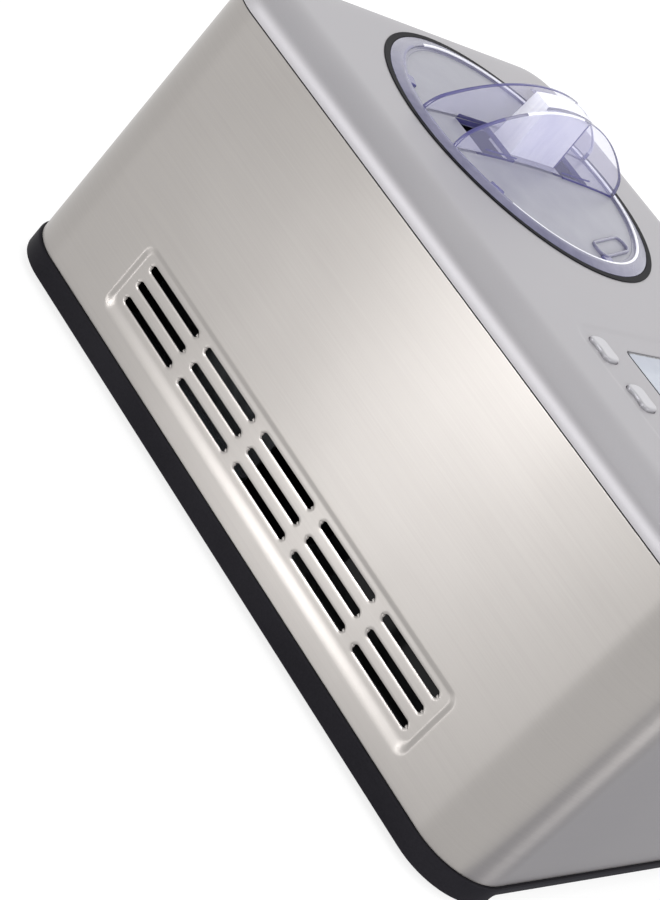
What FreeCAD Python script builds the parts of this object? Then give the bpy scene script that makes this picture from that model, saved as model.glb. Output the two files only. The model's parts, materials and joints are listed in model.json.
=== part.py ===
import FreeCAD, Part
import math
import os
import re
import Sketcher
from FreeCAD import Rotation, Vector

# Free-standing compressor ice cream maker: a brushed steel box on a black base tray, a clear lid with a
# twin-arch handle over a lift-out bowl, a paddle turned from below, and a refrigeration set in front.
# Origin at the middle of the footprint, on the surface that the feet stand on. +Z is up, -Y is the front.

# Driving sizes in millimetres and degrees, each with what it measures.
SIZES = {
    # Housing
    "body_width": (268, "steel wrap, side to side"),
    "body_depth": (400, "steel wrap, front to back"),
    "corner_radius": (32, "upright corners of the wrap"),
    "wrap_wall": (1, "steel sheet"),
    "wrap_height": (157.4, "steel wrap, from the base tray to the seam"),
    "foot_height": (4, "rubber foot"),
    "foot_radius": (11, "rubber foot, to its corners"),
    "foot_inset_x": (36, "foot centre from the side of the wrap"),
    "foot_inset_y": (54, "foot centre from the front or back of the wrap"),
    "base_height": (12, "base tray, bottom to rim"),
    "base_lip": (1.5, "base tray proud of the wrap"),
    "base_wall": (4, "base tray rim"),
    "base_floor": (3, "base tray floor"),
    "lift_width": (206, "finger recess under the front edge"),
    "lift_depth": (34, "finger recess, front to back"),
    "lift_height": (8, "finger recess, upwards"),
    "lift_wall": (3, "wall around the finger recess"),
    "seam_height": (1.2, "black seam between wrap and top cover"),
    "seam_inset": (0.3, "seam set back from the wrap"),
    "seam_width": (5, "seam strip, inwards"),
    # Side vents
    "slot_length": (43.6, "vent slot"),
    "slot_height": (4.2, "vent slot"),
    "slot_bevel": (1.3, "cut-off corner of a slot"),
    "slot_pitch": (52, "slot to slot along the side"),
    "slot_row_pitch": (10.2, "slot row to slot row"),
    "slot_columns": (5, "slots in a row"),
    "slot_rows": (3, "rows of slots"),
    "vent_center_y": (-5.4, "middle of the vent field"),
    "vent_center_z": (48.6, "middle of the vent field above the ground"),
    "vent_margin": (10.5, "pressed field beyond the slots"),
    "vent_depth": (2.4, "pressed field, inwards"),
    "vent_slope": (5, "width of the pressed field's sloped border"),
    "vent_bevel": (5, "cut-off corner of the pressed field"),
    # Top cover and controls
    "cover_height": (14.4, "top cover above the seam"),
    "cover_skirt": (0.6, "straight foot of the cover's rounded edge"),
    "cover_wall": (2.5, "top cover plate"),
    "edge_width": (24, "rounded edge, inwards"),
    "edge_radius": (9, "tighter lower part of the rounded edge"),
    "panel_half_width": (86, "sunk control panel, half its width"),
    "panel_back": (-32, "back edge of the control panel"),
    "panel_front": (-112, "front edge of the control panel"),
    "panel_radius": (10, "corner of the control panel"),
    "panel_depth": (0.6, "control panel below the top"),
    "display_half_width": (52, "display window, half its width"),
    "display_back": (-43.5, "back edge of the display window"),
    "display_front": (-92, "front edge of the display window"),
    "display_radius": (3, "corner of the display window"),
    "display_flange": (3, "window flange under the cover"),
    "display_flange_height": (1.5, "window flange"),
    "button_x": (75, "button centre from the middle line"),
    "button_back_y": (-46.5, "back pair of buttons"),
    "button_pitch": (28.5, "back pair to front pair"),
    "button_half_width": (7.8, "button, half its width"),
    "button_half_length": (8, "button, half its length"),
    "button_bevel": (3, "cut-off button corner"),
    "button_notch": (2.4, "half the width of the notch in the outer side"),
    "button_notch_radius": (2.8, "curve of that notch"),
    "button_rise": (1.8, "button above the panel"),
    "button_flange": (1.6, "button flange under the cover"),
    "button_flange_height": (2, "button flange"),
    "button_stem": (3, "stem over the switch, half its width"),
    "button_stem_length": (2.5, "stem below the flange"),
    "button_travel": (1.5, "push of a button"),
    "board_drop": (12.5, "top of the control board below the cover plate"),
    "board_thickness": (1.6, "control board"),
    "board_half_width": (92, "control board, half its width"),
    "board_back": (-34, "back edge of the control board"),
    "board_front": (-104, "front edge of the control board"),
    "standoff_half": (3, "posts that carry the control board, half their side"),
    "standoff_inset": (4, "post centre from the board's edges"),
    "switch_half_width": (3, "switch under a button, half its side"),
    "fit_gap": (0.3, "clearance around pieces that slide in the cover"),
    # Bowl opening
    "bowl_back": (107, "bowl axis in front of the back of the wrap"),
    "ring_radius": (84, "black ring, outside"),
    "ring_width": (3.5, "black ring as seen from above"),
    "ring_proud": (0.4, "ring above the cover"),
    "ring_ledge": (5, "ledge that the lid sits on"),
    "ring_ledge_drop": (6, "lid seat below the cover's top"),
    "ring_ledge_wall": (2.5, "thickness of the ledge"),
    "seat_gap": (0.2, "gap around seated rings"),
    "lid_gap": (0.5, "gap between lid and ring, bowl rim and ring"),
    # Lid
    "lid_rim_width": (6.5, "raised rim of the lid"),
    "lid_rim_rise": (2.2, "rim above the cover"),
    "lid_plate": (2.5, "lid plate"),
    "lid_step": (1.3, "rim above the plate"),
    "handle_half_length": (73.5, "handle arch, half its span"),
    "handle_rise": (34.5, "arch above its feet"),
    "handle_end_radius": (8, "arch radius at the feet"),
    "handle_gap": (24, "clear width between the two arches"),
    "handle_plate": (3, "thickness of an arch"),
    "post_half_width": (17, "post between the arches, half its width"),
    "post_wall": (2.5, "post wall"),
    "chute_end": (48, "far end of a filling chute from the middle"),
    "chute_start": (19.5, "near end of a filling chute from the middle"),
    # Bowl, well and paddle
    "well_radius": (70.3, "cooling well, inside"),
    "well_wall": (2, "cooling well"),
    "well_floor": (2.5, "cooling well floor"),
    "well_hole": (9.5, "shaft hole in the well floor"),
    "bowl_gap": (0.4, "gap between bowl and well wall"),
    "bowl_lift": (0.3, "gap between bowl and well floor"),
    "bowl_wall": (1.5, "bowl wall"),
    "bowl_rim_height": (1.8, "bowl rim"),
    "tube_bore": (8, "bowl's middle tube, inside"),
    "tube_height": (81, "middle tube above the bowl's foot"),
    "paddle_clear": (1.5, "paddle from the bowl wall"),
    "paddle_lift": (0.6, "paddle above the bowl floor"),
    "hub_bore": (12, "paddle sleeve, inside"),
    "hub_wall": (2.5, "paddle sleeve"),
    "hub_cap": (14, "solid head of the paddle sleeve"),
    "blade_thickness": (4, "paddle blade"),
    "blade_height": (70, "paddle blade at the sleeve"),
    "blade_outer_height": (50, "paddle blade at the bowl wall"),
    "blade_margin": (9, "frame around the window in a blade"),
    "blade_bevel": (3, "cut-off foot of a blade"),
    # Drive
    "floor_to_bracket": (47, "top of the motor bracket's plate above the tray floor"),
    "bracket_plate": (2, "motor bracket sheet"),
    "bracket_half_width": (80, "motor bracket, half its width"),
    "bracket_length": (110, "motor bracket, front to back"),
    "bracket_foot": (14, "out-turned foot of the bracket"),
    "shaft_radius": (4, "drive shaft"),
    "shaft_gap": (0.05, "running clearance of shafts"),
    "shaft_tip": (6, "square tip of the drive shaft"),
    "shaft_tip_height": (12, "square tip in the paddle's head"),
    "tip_gap": (0.3, "gap between tip and socket"),
    "boss_wall": (7, "bearing boss around the shaft"),
    "boss_height": (8, "boss above the gearbox cover"),
    "gear_module": (1.5, "tooth size of the motor stage"),
    "gear_module_out": (1.875, "tooth size of the output stage"),
    "pinion_teeth": (8, "teeth on each small gear"),
    "wheel_teeth": (24, "teeth on each large gear"),
    "gear_face": (5.5, "width of a gear"),
    "gear_level_gap": (1, "between the two gear levels"),
    "gearbox_wall": (2.5, "gearbox sheet"),
    "gearbox_clear": (1.7, "gears from the gearbox wall"),
    "gearbox_bevel": (8, "cut-off gearbox corner"),
    "axle_radius": (2, "pin of the double gear and shaft of the motor"),
    "axle_seat": (1.2, "boss under the double gear and the shaft"),
    "motor_half": (24, "paddle motor, half its side"),
    "motor_height": (22, "paddle motor"),
    "motor_bore": (5, "depth of the motor's shaft hole"),
    # Insulation and cooling
    "foam_half": (92, "insulation around the well, half its side"),
    "foam_floor": (10, "insulation under the well"),
    "jacket_wall": (5, "evaporator jacket"),
    "jacket_flats": (24, "flats that the jacket is bent in"),
    "jacket_height": (84, "evaporator jacket"),
    "jacket_start": (12, "jacket above the well's foot"),
    "pump_side": (72, "compressor centre from the left side of the wrap"),
    "pump_half_width": (52, "compressor shell, half its width"),
    "pump_half_length": (68, "compressor shell, half its length"),
    "pump_bevel": (28, "cut-off corner of the compressor shell"),
    "pump_height": (116, "compressor shell"),
    "pump_port": (42, "pipe ports from the middle of the compressor"),
    "pump_plate": (3, "compressor foot plate"),
    "pump_plate_margin": (2, "foot plate beyond the shell"),
    "mount_inset": (9, "rubber mount from the foot plate's edges"),
    "mount_half": (8, "rubber mount, half its side"),
    "mount_height": (8, "rubber mount"),
    "mount_seat": (8, "boss under a rubber mount, as high as the roof of the finger recess"),
    "relay_width": (40, "terminal box on the compressor"),
    "relay_depth": (18, "terminal box"),
    "relay_height": (44, "terminal box"),
    "relay_z": (66, "terminal box above the tray floor"),
    "relay_gap": (3, "terminal box from the insulation"),
    "condenser_gap": (10, "condenser from the side of the wrap"),
    "condenser_depth": (26, "condenser, along the air flow"),
    "condenser_y": (-105, "condenser and fan centre"),
    "condenser_side": (112, "condenser, width and height"),
    "fin_columns": (5, "air cells across"),
    "fin_rows": (4, "air cells upwards"),
    "fin_wall": (2, "flat tubes and fins between the cells"),
    "tank_half": (6, "upright tank at each end of the condenser, half its side"),
    "tank_inset": (10, "tank shorter than the condenser at each end"),
    "shroud_plate": (2.5, "fan shroud"),
    "shroud_radius": (50, "air hole in the shroud, to its flats"),
    "shroud_depth": (30, "legs that carry the struts"),
    "strut_width": (6, "struts that carry the fan motor"),
    "strut_thickness": (4, "struts that carry the fan motor"),
    "fan_motor_half": (16, "fan motor, half its side"),
    "fan_motor_length": (20, "fan motor"),
    "fan_radius": (48, "fan across the blade tips"),
    "fan_hub": (17, "fan hub"),
    "fan_depth": (16, "fan hub along the axis"),
    "fan_gap": (2, "fan from its motor"),
    "fan_blades": (5, "fan blades"),
    "blade_pitch": (38, "degrees, blade to the plane of the fan"),
    "blade_chord": (20, "fan blade, width"),
    "fan_blade_wall": (1.6, "fan blade"),
    "drier_radius": (8, "filter drier"),
    "drier_length": (60, "filter drier without its necks"),
    "pipe_radius": (3, "refrigerant pipe"),
    "drier_gap": (12, "axis of the filter drier from the condenser's tank"),
    "pipe_rise": (12, "pipe runs above the ports"),
    "capillary_radius": (1.5, "pipe into the evaporator"),
    "capillary_z": (92, "pipe into the evaporator above the ground"),
    # Mains inlet
    "gland_x": (82, "cord gland from the middle line"),
    "gland_z": (34, "cord gland above the ground"),
    "gland_radius": (6.5, "cord gland in the wall"),
    "gland_bore": (3.6, "hole for a cord"),
    "gland_flange": (3, "flange beyond the gland's body"),
    "gland_flange_height": (1.2, "flange outside the wall"),
    "gland_length": (13, "gland inside the wall"),
}

# Places that follow from the driving sizes, each with what it measures.
PLACES = {
    "bowl_y": ("body_depth / 2 - bowl_back", "bowl axis behind the middle of the footprint"),
    "pump_x": ("pump_side - body_width / 2", "compressor centre"),
    "pump_y": ("bowl_y - foam_half - relay_gap - relay_depth - pump_half_length", "compressor centre"),
    "condenser_x": ("body_width / 2 - condenser_gap - condenser_depth", "inner face of the condenser"),
}

# Levels and radii that follow from the driving sizes.
BASE_TOP = "(foot_height + base_height)"
TRAY_FLOOR = "(foot_height + base_floor)"
WRAP_TOP = f"({BASE_TOP} + wrap_height)"
COVER_FOOT = f"({WRAP_TOP} + seam_height)"
COVER_TOP = f"({COVER_FOOT} + cover_height)"
COVER_UNDER = f"({COVER_TOP} - cover_wall)"
PANEL_TOP = f"({COVER_TOP} - panel_depth)"
BOARD_TOP = f"({COVER_UNDER} - board_drop)"
RING_BORE = "(ring_radius - ring_width)"
LID_SEAT = f"({COVER_TOP} - ring_ledge_drop)"
LEDGE_BORE = f"({RING_BORE} - ring_ledge)"
WELL_TOP = f"({LID_SEAT} - ring_ledge_wall)"
BRACKET_TOP = f"({TRAY_FLOOR} + floor_to_bracket)"
WELL_FOOT = f"({BRACKET_TOP} + foam_floor)"
BOWL_FOOT = f"({WELL_FOOT} + well_floor + bowl_lift)"
BOWL_FLOOR = f"({BOWL_FOOT} + bowl_wall)"
BOWL_RADIUS = "(well_radius - bowl_gap)"
TUBE_TOP = f"({BOWL_FOOT} + tube_height)"
HUB_CEILING = f"({TUBE_TOP} + 2)"
JACKET_RADIUS = "(well_radius + well_wall + seat_gap)"
LID_RADIUS = f"({RING_BORE} - lid_gap)"
LID_INNER = f"({LID_RADIUS} - lid_rim_width)"
LID_TOP = f"({COVER_TOP} + lid_rim_rise)"
LID_PLATE_TOP = f"({LID_TOP} - lid_step)"
GEARBOX_TOP = f"({BRACKET_TOP} - bracket_plate)"
GEARBOX_COVER_FOOT = f"({GEARBOX_TOP} - gearbox_wall)"
OUTPUT_LEVEL = f"({GEARBOX_COVER_FOOT} - gear_level_gap - gear_face)"
MOTOR_LEVEL = f"({OUTPUT_LEVEL} - gear_level_gap - gear_face)"
GEARBOX_FLOOR = f"({MOTOR_LEVEL} - axle_seat - shaft_gap * 6)"
GEARBOX_FOOT = f"({GEARBOX_FLOOR} - gearbox_wall)"
DOUBLE_Y = "(bowl_y - gear_module_out * (pinion_teeth + wheel_teeth) / 2)"
MOTOR_Y = f"({DOUBLE_Y} - gear_module * (pinion_teeth + wheel_teeth) / 2)"
BOSS_TOP = f"({GEARBOX_TOP} + boss_height)"
BOSS_HALF = "(shaft_radius + shaft_gap + boss_wall)"
JACKET_OUTSIDE = f"({JACKET_RADIUS} + jacket_wall)"
SUCTION_LEVEL = f"({TRAY_FLOOR} + mount_seat + mount_height + pump_plate + pump_height + pipe_rise)"
PUMP_PLATE_FOOT = f"({TRAY_FLOOR} + mount_seat + mount_height)"
PUMP_FOOT = f"({PUMP_PLATE_FOOT} + pump_plate)"
PUMP_MOUNT_X = "(pump_half_width + pump_plate_margin - mount_inset)"
PUMP_MOUNT_Y = "(pump_half_length + pump_plate_margin - mount_inset)"
SHROUD_X = "(condenser_x - shroud_plate)"
FAN_MOTOR_X = "(condenser_x - shroud_plate - shroud_depth)"
CONDENSER_Z = f"({TRAY_FLOOR} + condenser_side / 2)"

doc = FreeCAD.newDocument("ice_cream_maker")
sheet = doc.addObject("Spreadsheet::Sheet", "sizes")
for row, (size_name, (size_value, size_note)) in enumerate([*SIZES.items(), *PLACES.items()], 1):
    sheet.set(f"A{row}", size_note)
    sheet.set(f"B{row}", f"={size_value}")
    sheet.setAlias(f"B{row}", size_name)
doc.recompute()

subparts = []


def cells(text):
    """Return an expression in which every size name points into the sheet."""
    known = {**SIZES, **PLACES}
    return re.sub(r"[a-z][a-z_]*", lambda m: f"sizes.{m[0]}" if m[0] in known else m[0], str(text))


def number(text):
    """Return the present value of an expression of sizes."""
    return float(sheet.evalExpression(cells(text)))


def bind(item, **places):
    """Tie properties of a document object to expressions of sizes."""
    for name, text in places.items():
        item.setExpression(name, cells(text))
    return item


def at(item, x="0", y="0", z="0"):
    """Tie the place of a document object to expressions of sizes."""
    for axis, text in zip("xyz", (x, y, z)):
        item.setExpression(f"Placement.Base.{axis}", cells(text))
    return item


def keep(item, label):
    """Name a document object as one physical piece."""
    item.Label = label
    subparts.append(item)
    return item


def new_body(label, x="0", y="0", z="0"):
    """Start a piece that is built from sketches and features."""
    return keep(at(doc.addObject("PartDesign::Body", label), x, y, z), label)


def new_sketch(body, role, lift="0"):
    """Start a sketch on one of the body's own planes, lifted along the plane's normal."""
    sketch = body.newObject("Sketcher::SketchObject", f"{body.Label}_sketch")
    plane = next(f for f in body.Origin.OriginFeatures if f.Role == role)
    sketch.AttachmentSupport = [(plane, "")]
    sketch.MapMode = "FlatFace"
    sketch.setExpression("AttachmentOffset.Base.z", cells(lift))
    return sketch


def hold(sketch, kind, geometry, text):
    """Add a dimension that follows an expression of sizes."""
    index = sketch.addConstraint(Sketcher.Constraint(kind, *geometry, number(text)))
    sketch.setExpression(f"Constraints[{index}]", cells(text))


def arc_between(start, end, radius, turn):
    """Return the shorter arc from start to end; turn is 1 for anticlockwise, -1 for clockwise."""
    chord = end - start
    normal = Vector(-chord.y, chord.x, 0).normalize()
    height = math.sqrt(max(radius**2 - chord.Length**2 / 4, 0))
    center = (start + end) * 0.5 + normal * (height * turn)
    first, last = (start, end) if turn > 0 else (end, start)
    angles = [math.atan2(p.y - center.y, p.x - center.x) for p in (first, last)]
    return Part.ArcOfCircle(Part.Circle(center, Vector(0, 0, 1), radius), *angles)


def outline(sketch, corners):
    """Draw a closed outline. A corner is (x, y), reached by a line, or (x, y, radius, turn), by an arc."""
    points = [Vector(number(c[0]), number(c[1]), 0) for c in corners]
    sides = []
    for index, corner in enumerate(corners):
        start, end = points[index - 1], points[index]
        if len(corner) == 2:
            sides.append((sketch.addGeometry(Part.LineSegment(start, end)), 1, 2))
        else:
            turn = corner[3]
            curve = sketch.addGeometry(arc_between(start, end, number(corner[2]), turn))
            sides.append((curve, 1, 2) if turn > 0 else (curve, 2, 1))
    for index, corner in enumerate(corners):
        side, _, end = sides[index]
        following, start, _ = sides[(index + 1) % len(sides)]
        sketch.addConstraint(Sketcher.Constraint("Coincident", side, end, following, start))
        hold(sketch, "DistanceX", (-1, 1, side, end), corner[0])
        hold(sketch, "DistanceY", (-1, 1, side, end), corner[1])
        if len(corner) == 4:
            hold(sketch, "Radius", (side,), corner[2])
    return sketch


def circle(sketch, radius, x="0", y="0"):
    """Draw a circle."""
    center = Vector(number(x), number(y), 0)
    curve = sketch.addGeometry(Part.Circle(center, Vector(0, 0, 1), number(radius)))
    hold(sketch, "DistanceX", (-1, 1, curve, 3), x)
    hold(sketch, "DistanceY", (-1, 1, curve, 3), y)
    hold(sketch, "Radius", (curve,), radius)
    return sketch


def rounded_box(half_x, half_y, radius, x="0", y="0"):
    """Return the corners of a rectangle with rounded corners."""
    right, left = f"{x} + ({half_x})", f"{x} - ({half_x})"
    top, bottom = f"{y} + ({half_y})", f"{y} - ({half_y})"
    return [
        (f"{right} - ({radius})", bottom),
        (right, f"{bottom} + ({radius})", radius, 1),
        (right, f"{top} - ({radius})"),
        (f"{right} - ({radius})", top, radius, 1),
        (f"{left} + ({radius})", top),
        (left, f"{top} - ({radius})", radius, 1),
        (left, f"{bottom} + ({radius})"),
        (f"{left} + ({radius})", bottom, radius, 1),
    ]


def beveled_box(half_x, half_y, bevel, x="0", y="0"):
    """Return the corners of a rectangle with cut-off corners."""
    return [corner[:2] for corner in rounded_box(half_x, half_y, bevel, x, y)]


def box(left, right, front, back):
    """Return the corners of a rectangle."""
    return [(right, front), (right, back), (left, back), (left, front)]


def square(half, x="0", y="0"):
    """Return the corners of a square around a point."""
    return box(f"{x} - ({half})", f"{x} + ({half})", f"{y} - ({half})", f"{y} + ({half})")


def polygon(inside, sides, phase="0", x="0", y="0"):
    """Return the corners of a regular polygon, given the radius to its flats; phase 0 has a corner on +X."""
    corners = []
    for step in range(round(number(sides))):
        angle = f"({phase} + 360 * {step} / ({sides}))"
        reach = f"({inside}) / cos(180 / ({sides}))"
        corners.append((f"{x} + {reach} * cos({angle})", f"{y} + {reach} * sin({angle})"))
    return corners


def pad(body, sketch, length, both_ways=False):
    """Raise a sketch along its normal, or half to each side."""
    feature = body.newObject("PartDesign::Pad", f"{body.Label}_pad")
    feature.Profile = sketch
    feature.SideType = "Symmetric" if both_ways else "One side"
    return bind(feature, Length=length)


def cut(body, sketch, length=None):
    """Cut a sketch along its normal by a length, or through everything both ways."""
    doc.recompute()
    before = body.Shape.Volume
    feature = body.newObject("PartDesign::Pocket", f"{body.Label}_cut")
    feature.Profile = sketch
    if length is None:
        feature.Type = "ThroughAll"
        feature.SideType = "Symmetric"
    else:
        feature.Reversed = True
        bind(feature, Length=length)
    doc.recompute()
    if body.Shape.Volume > before - 1e-6:
        raise ValueError(f"{feature.Name} removes nothing from {body.Label}")
    return feature


def turn(body, sketch):
    """Turn a sketch on the XZ plane about the body's Z axis."""
    feature = body.newObject("PartDesign::Revolution", f"{body.Label}_turned")
    feature.Profile = sketch
    feature.ReferenceAxis = (sketch, ["V_Axis"])
    feature.Angle = 360
    return feature


def turned_body(label, profile, x="0", y="0"):
    """Make a round piece from its (radius, height) profile."""
    body = new_body(label, x, y)
    turn(body, outline(new_sketch(body, "XZ_Plane"), profile))
    return body


def around(body, feature, count):
    """Repeat a feature evenly about the body's Z axis."""
    pattern = body.newObject("PartDesign::PolarPattern", f"{body.Label}_pattern")
    pattern.Originals = [feature]
    pattern.Axis = (next(f for f in body.Origin.OriginFeatures if f.Role == "Z_Axis"), [""])
    pattern.Angle = 360
    bind(pattern, Occurrences=count)
    body.Tip = pattern
    return pattern


def grid(body, feature, across, upward):
    """Repeat a cut in columns and rows, each a (pitch, count) pair, along its sketch's axes."""
    sketch = feature.Profile[0]
    pattern = body.newObject("PartDesign::LinearPattern", f"{body.Label}_grid")
    pattern.Originals = [feature]
    pattern.Direction = (sketch, ["H_Axis"])
    pattern.Direction2 = (sketch, ["V_Axis"])
    pattern.Mode = pattern.Mode2 = "Spacing"
    bind(pattern, Offset=across[0], Occurrences=across[1], Offset2=upward[0], Occurrences2=upward[1])
    doc.recompute()
    pattern.Spacings2 = [-1.0] * (pattern.Occurrences2 - 1)
    body.Tip = pattern
    doc.recompute()
    return pattern


def cylinder(name, radius, height, x="0", y="0", z="0"):
    """Make an upright cylinder."""
    item = doc.addObject("Part::Cylinder", name)
    return at(bind(item, Radius=radius, Height=height), x, y, z)


def prism(name, radius, sides, height, x="0", y="0", z="0"):
    """Make an upright regular prism, given the radius to its corners."""
    item = doc.addObject("Part::Prism", name)
    item.Polygon = sides
    return at(bind(item, Circumradius=radius, Height=height), x, y, z)


def block(name, half, height, x="0", y="0", z="0"):
    """Make an upright square block, placed by the middle of its foot."""
    item = doc.addObject("Part::Box", name)
    bind(item, Length=f"2 * ({half})", Width=f"2 * ({half})", Height=height)
    return at(item, f"{x} - ({half})", f"{y} - ({half})", z)


def group(label, items):
    """Keep a set of like solids as one named group."""
    compound = doc.addObject("Part::Compound", label)
    compound.Links = items
    return keep(compound, label)


def body_outline(inset, radius_loss=None):
    """Return the wrap's footprint, set in by a distance."""
    loss = inset if radius_loss is None else radius_loss
    return rounded_box(
        f"(body_width / 2 - ({inset}))", f"(body_depth / 2 - ({inset}))", f"(corner_radius - ({loss}))"
    )


def button_outline(x, y, side, grow="0"):
    """Return a button's bean-shaped outline, with its notch on the side away from the display."""
    half_x, half_y = f"(button_half_width + ({grow}))", f"(button_half_length + ({grow}))"
    corners = beveled_box(half_x, half_y, f"(button_bevel + 0.6 * ({grow}))")
    radius = f"(button_notch_radius - ({grow}))"
    depth = f"(sqrt(button_notch_radius^2 - button_notch^2) - ({grow}))"
    notch = f"sqrt({radius}^2 - {depth}^2)"
    corners[6:6] = [(f"-({half_x})", notch), (f"-({half_x})", f"-{notch}", radius, -1)]
    return [(f"{x} + {side} * ({c[0]})", f"{y} + {side} * ({c[1]})", *c[2:]) for c in corners]


# Buttons: name, side of the display (1 is the left column, -1 the right) and place in the column.
BUTTONS = [
    ("button_left_back", 1, 0),
    ("button_left_front", 1, 1),
    ("button_right_back", -1, 0),
    ("button_right_front", -1, 1),
]


def button_place(side, step):
    """Return a button's centre."""
    return f"(-({side}) * button_x)", f"(button_back_y - {step} * button_pitch)"


def make_base_tray():
    """Black tray with a rim under the wrap, a finger recess at the front and seats for the compressor."""
    body = new_body("base_tray")
    rim = body_outline("-base_lip")
    pad(body, outline(new_sketch(body, "XY_Plane", "foot_height"), rim), "base_floor")
    wall = outline(new_sketch(body, "XY_Plane", TRAY_FLOOR), rim)
    outline(wall, [corner[:2] for corner in body_outline("base_wall - base_lip")])
    pad(body, wall, "base_height - base_floor")
    front, reach = "-body_depth / 2", "-body_depth / 2 + lift_depth"
    half = "lift_width / 2"
    hood = box(f"-{half} - lift_wall", f"{half} + lift_wall", front, f"{reach} + lift_wall")
    pad(body, outline(new_sketch(body, "XY_Plane", "foot_height"), hood), "lift_height + lift_wall")
    seats = new_sketch(body, "XY_Plane", TRAY_FLOOR)
    for sx in (-1, 1):
        for sy in (-1, 1):
            place = f"pump_x + {sx} * {PUMP_MOUNT_X}", f"pump_y + {sy} * {PUMP_MOUNT_Y}"
            outline(seats, square("mount_half + 1", *place))
    pad(body, seats, "mount_seat")
    recess = box(f"-{half}", half, f"{front} - base_lip - lift_wall", reach)
    cut(body, outline(new_sketch(body, "XY_Plane", "foot_height"), recess), "lift_height")


def make_feet():
    """Four round rubber feet."""
    feet = []
    for sx in (-1, 1):
        for sy in (-1, 1):
            x, y = f"{sx} * (body_width / 2 - foot_inset_x)", f"{sy} * (body_depth / 2 - foot_inset_y)"
            feet.append(prism("foot", "foot_radius", 16, "foot_height", x, y))
    group("rubber_feet", feet)


def make_body_wrap():
    """Steel wrap with a pressed, slotted vent field on each side and a hole for the cord gland."""
    body = new_body("body_wrap")
    wall = outline(new_sketch(body, "XY_Plane", BASE_TOP), body_outline("0"))
    outline(wall, body_outline("wrap_wall"))
    pad(body, wall, "wrap_height")
    half_long = "((slot_columns - 1) * slot_pitch / 2 + slot_length / 2 + vent_margin)"
    half_high = "((slot_rows - 1) * slot_row_pitch / 2 + slot_height / 2 + vent_margin)"
    for side in (-1, 1):
        for kind, grow, skin in (("AdditiveLoft", "wrap_wall", "wrap_wall / 2"), ("SubtractiveLoft", "0", "0")):
            sections = []
            for inset, depth in (("0", skin), ("vent_slope", f"vent_depth + {grow}")):
                section = new_sketch(body, "YZ_Plane", f"{side} * (body_width / 2 - ({depth}))")
                size = f"({grow} - {inset})"
                corners = beveled_box(
                    f"({half_long} + {size})",
                    f"({half_high} + {size})",
                    f"(vent_bevel + 0.6 * {size})",
                    "vent_center_y",
                    "vent_center_z",
                )
                sections.append(outline(section, corners))
            loft = body.newObject(f"PartDesign::{kind}", f"vent_{kind}")
            loft.Profile = sections[0]
            loft.Sections = sections[1:]
    slot = new_sketch(body, "YZ_Plane")
    first_y = "(vent_center_y - (slot_columns - 1) * slot_pitch / 2)"
    first_z = "(vent_center_z - (slot_rows - 1) * slot_row_pitch / 2)"
    outline(slot, beveled_box("slot_length / 2", "slot_height / 2", "slot_bevel", first_y, first_z))
    grid(body, cut(body, slot), ("slot_pitch", "slot_columns"), ("slot_row_pitch", "slot_rows"))
    hole = new_sketch(body, "XZ_Plane", "-(body_depth / 2 + 1)")
    outline(hole, polygon("gland_radius + seat_gap", 12, "0", "gland_x", "gland_z"))
    body.Tip = cut(body, hole, "wrap_wall + 2")


def make_seam_gasket():
    """Black strip in the seam between the wrap and the top cover."""
    body = new_body("seam_gasket", z=WRAP_TOP)
    strip = outline(new_sketch(body, "XY_Plane"), body_outline("seam_inset"))
    outline(strip, [corner[:2] for corner in body_outline("seam_inset + seam_width")])
    pad(body, strip, "seam_height")


def make_top_cover():
    """Top cover with a wide rounded edge, the bowl opening, and a sunk control panel."""
    body = new_body("top_cover", z=COVER_FOOT)
    side = "body_width / 2"
    rise = "(cover_height - cover_skirt)"
    loss = "(edge_width - edge_radius)"
    wide = f"(({loss}^2 + {rise}^2 - edge_radius^2) / (2 * ({rise} - edge_radius)))"

    bend = f"acos({loss} / ({wide} - edge_radius))"

    def tight(angle):
        """Return a point on the tighter lower curve of the edge."""
        return f"{side} - edge_radius + edge_radius * cos({angle})", f"cover_skirt + edge_radius * sin({angle})"

    def shallow(angle):
        """Return a point on the wider upper curve of the edge."""
        return f"{side} - edge_width + {wide} * cos({angle})", f"cover_height - {wide} + {wide} * sin({angle})"

    loop = body_outline("0")
    path = outline(new_sketch(body, "XY_Plane"), [*loop[2:], *loop[:2], (side, "0")])
    edge = new_sketch(body, "XZ_Plane")
    outline(edge, [
        (side, "0"),
        (side, "cover_skirt"),
        tight(f"{bend} / 2"),
        tight(bend),
        shallow(f"({bend} + 90 deg) / 2"),
        (f"{side} - edge_width", "cover_height"),
        (f"{side} - edge_width", "cover_height - cover_wall"),
        (f"{side} - cover_wall", "cover_skirt"),
        (f"{side} - cover_wall", "0"),
    ])
    rim = body.newObject("PartDesign::AdditivePipe", "rounded_edge")
    rim.Profile = edge
    rim.Spine = path
    plate = outline(new_sketch(body, "XY_Plane", "cover_height - cover_wall"), body_outline("edge_width"))
    pad(body, plate, "cover_wall")
    post_z = "cover_height - cover_wall - board_drop"
    posts = new_sketch(body, "XY_Plane", post_z)
    for sx in (-1, 1):
        for y in ("board_back - standoff_inset", "board_front + standoff_inset"):
            outline(posts, square("standoff_half", f"{sx} * (board_half_width - standoff_inset)", y))
    pad(body, posts, "board_drop")
    panel = new_sketch(body, "XY_Plane", "cover_height - panel_depth")
    middle, half = "((panel_back + panel_front) / 2)", "((panel_back - panel_front) / 2)"
    outline(panel, rounded_box("panel_half_width", half, "panel_radius", "0", middle))
    cut(body, panel, "panel_depth + 1")
    holes = new_sketch(body, "XY_Plane", "cover_height - cover_wall - 1")
    circle(holes, "ring_radius + seat_gap", "0", "bowl_y")
    outline(holes, display_outline("fit_gap"))
    for _, column, step in BUTTONS:
        outline(holes, button_outline(*button_place(column, step), column, "fit_gap"))
    cut(body, holes, "cover_wall + 2")


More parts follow.
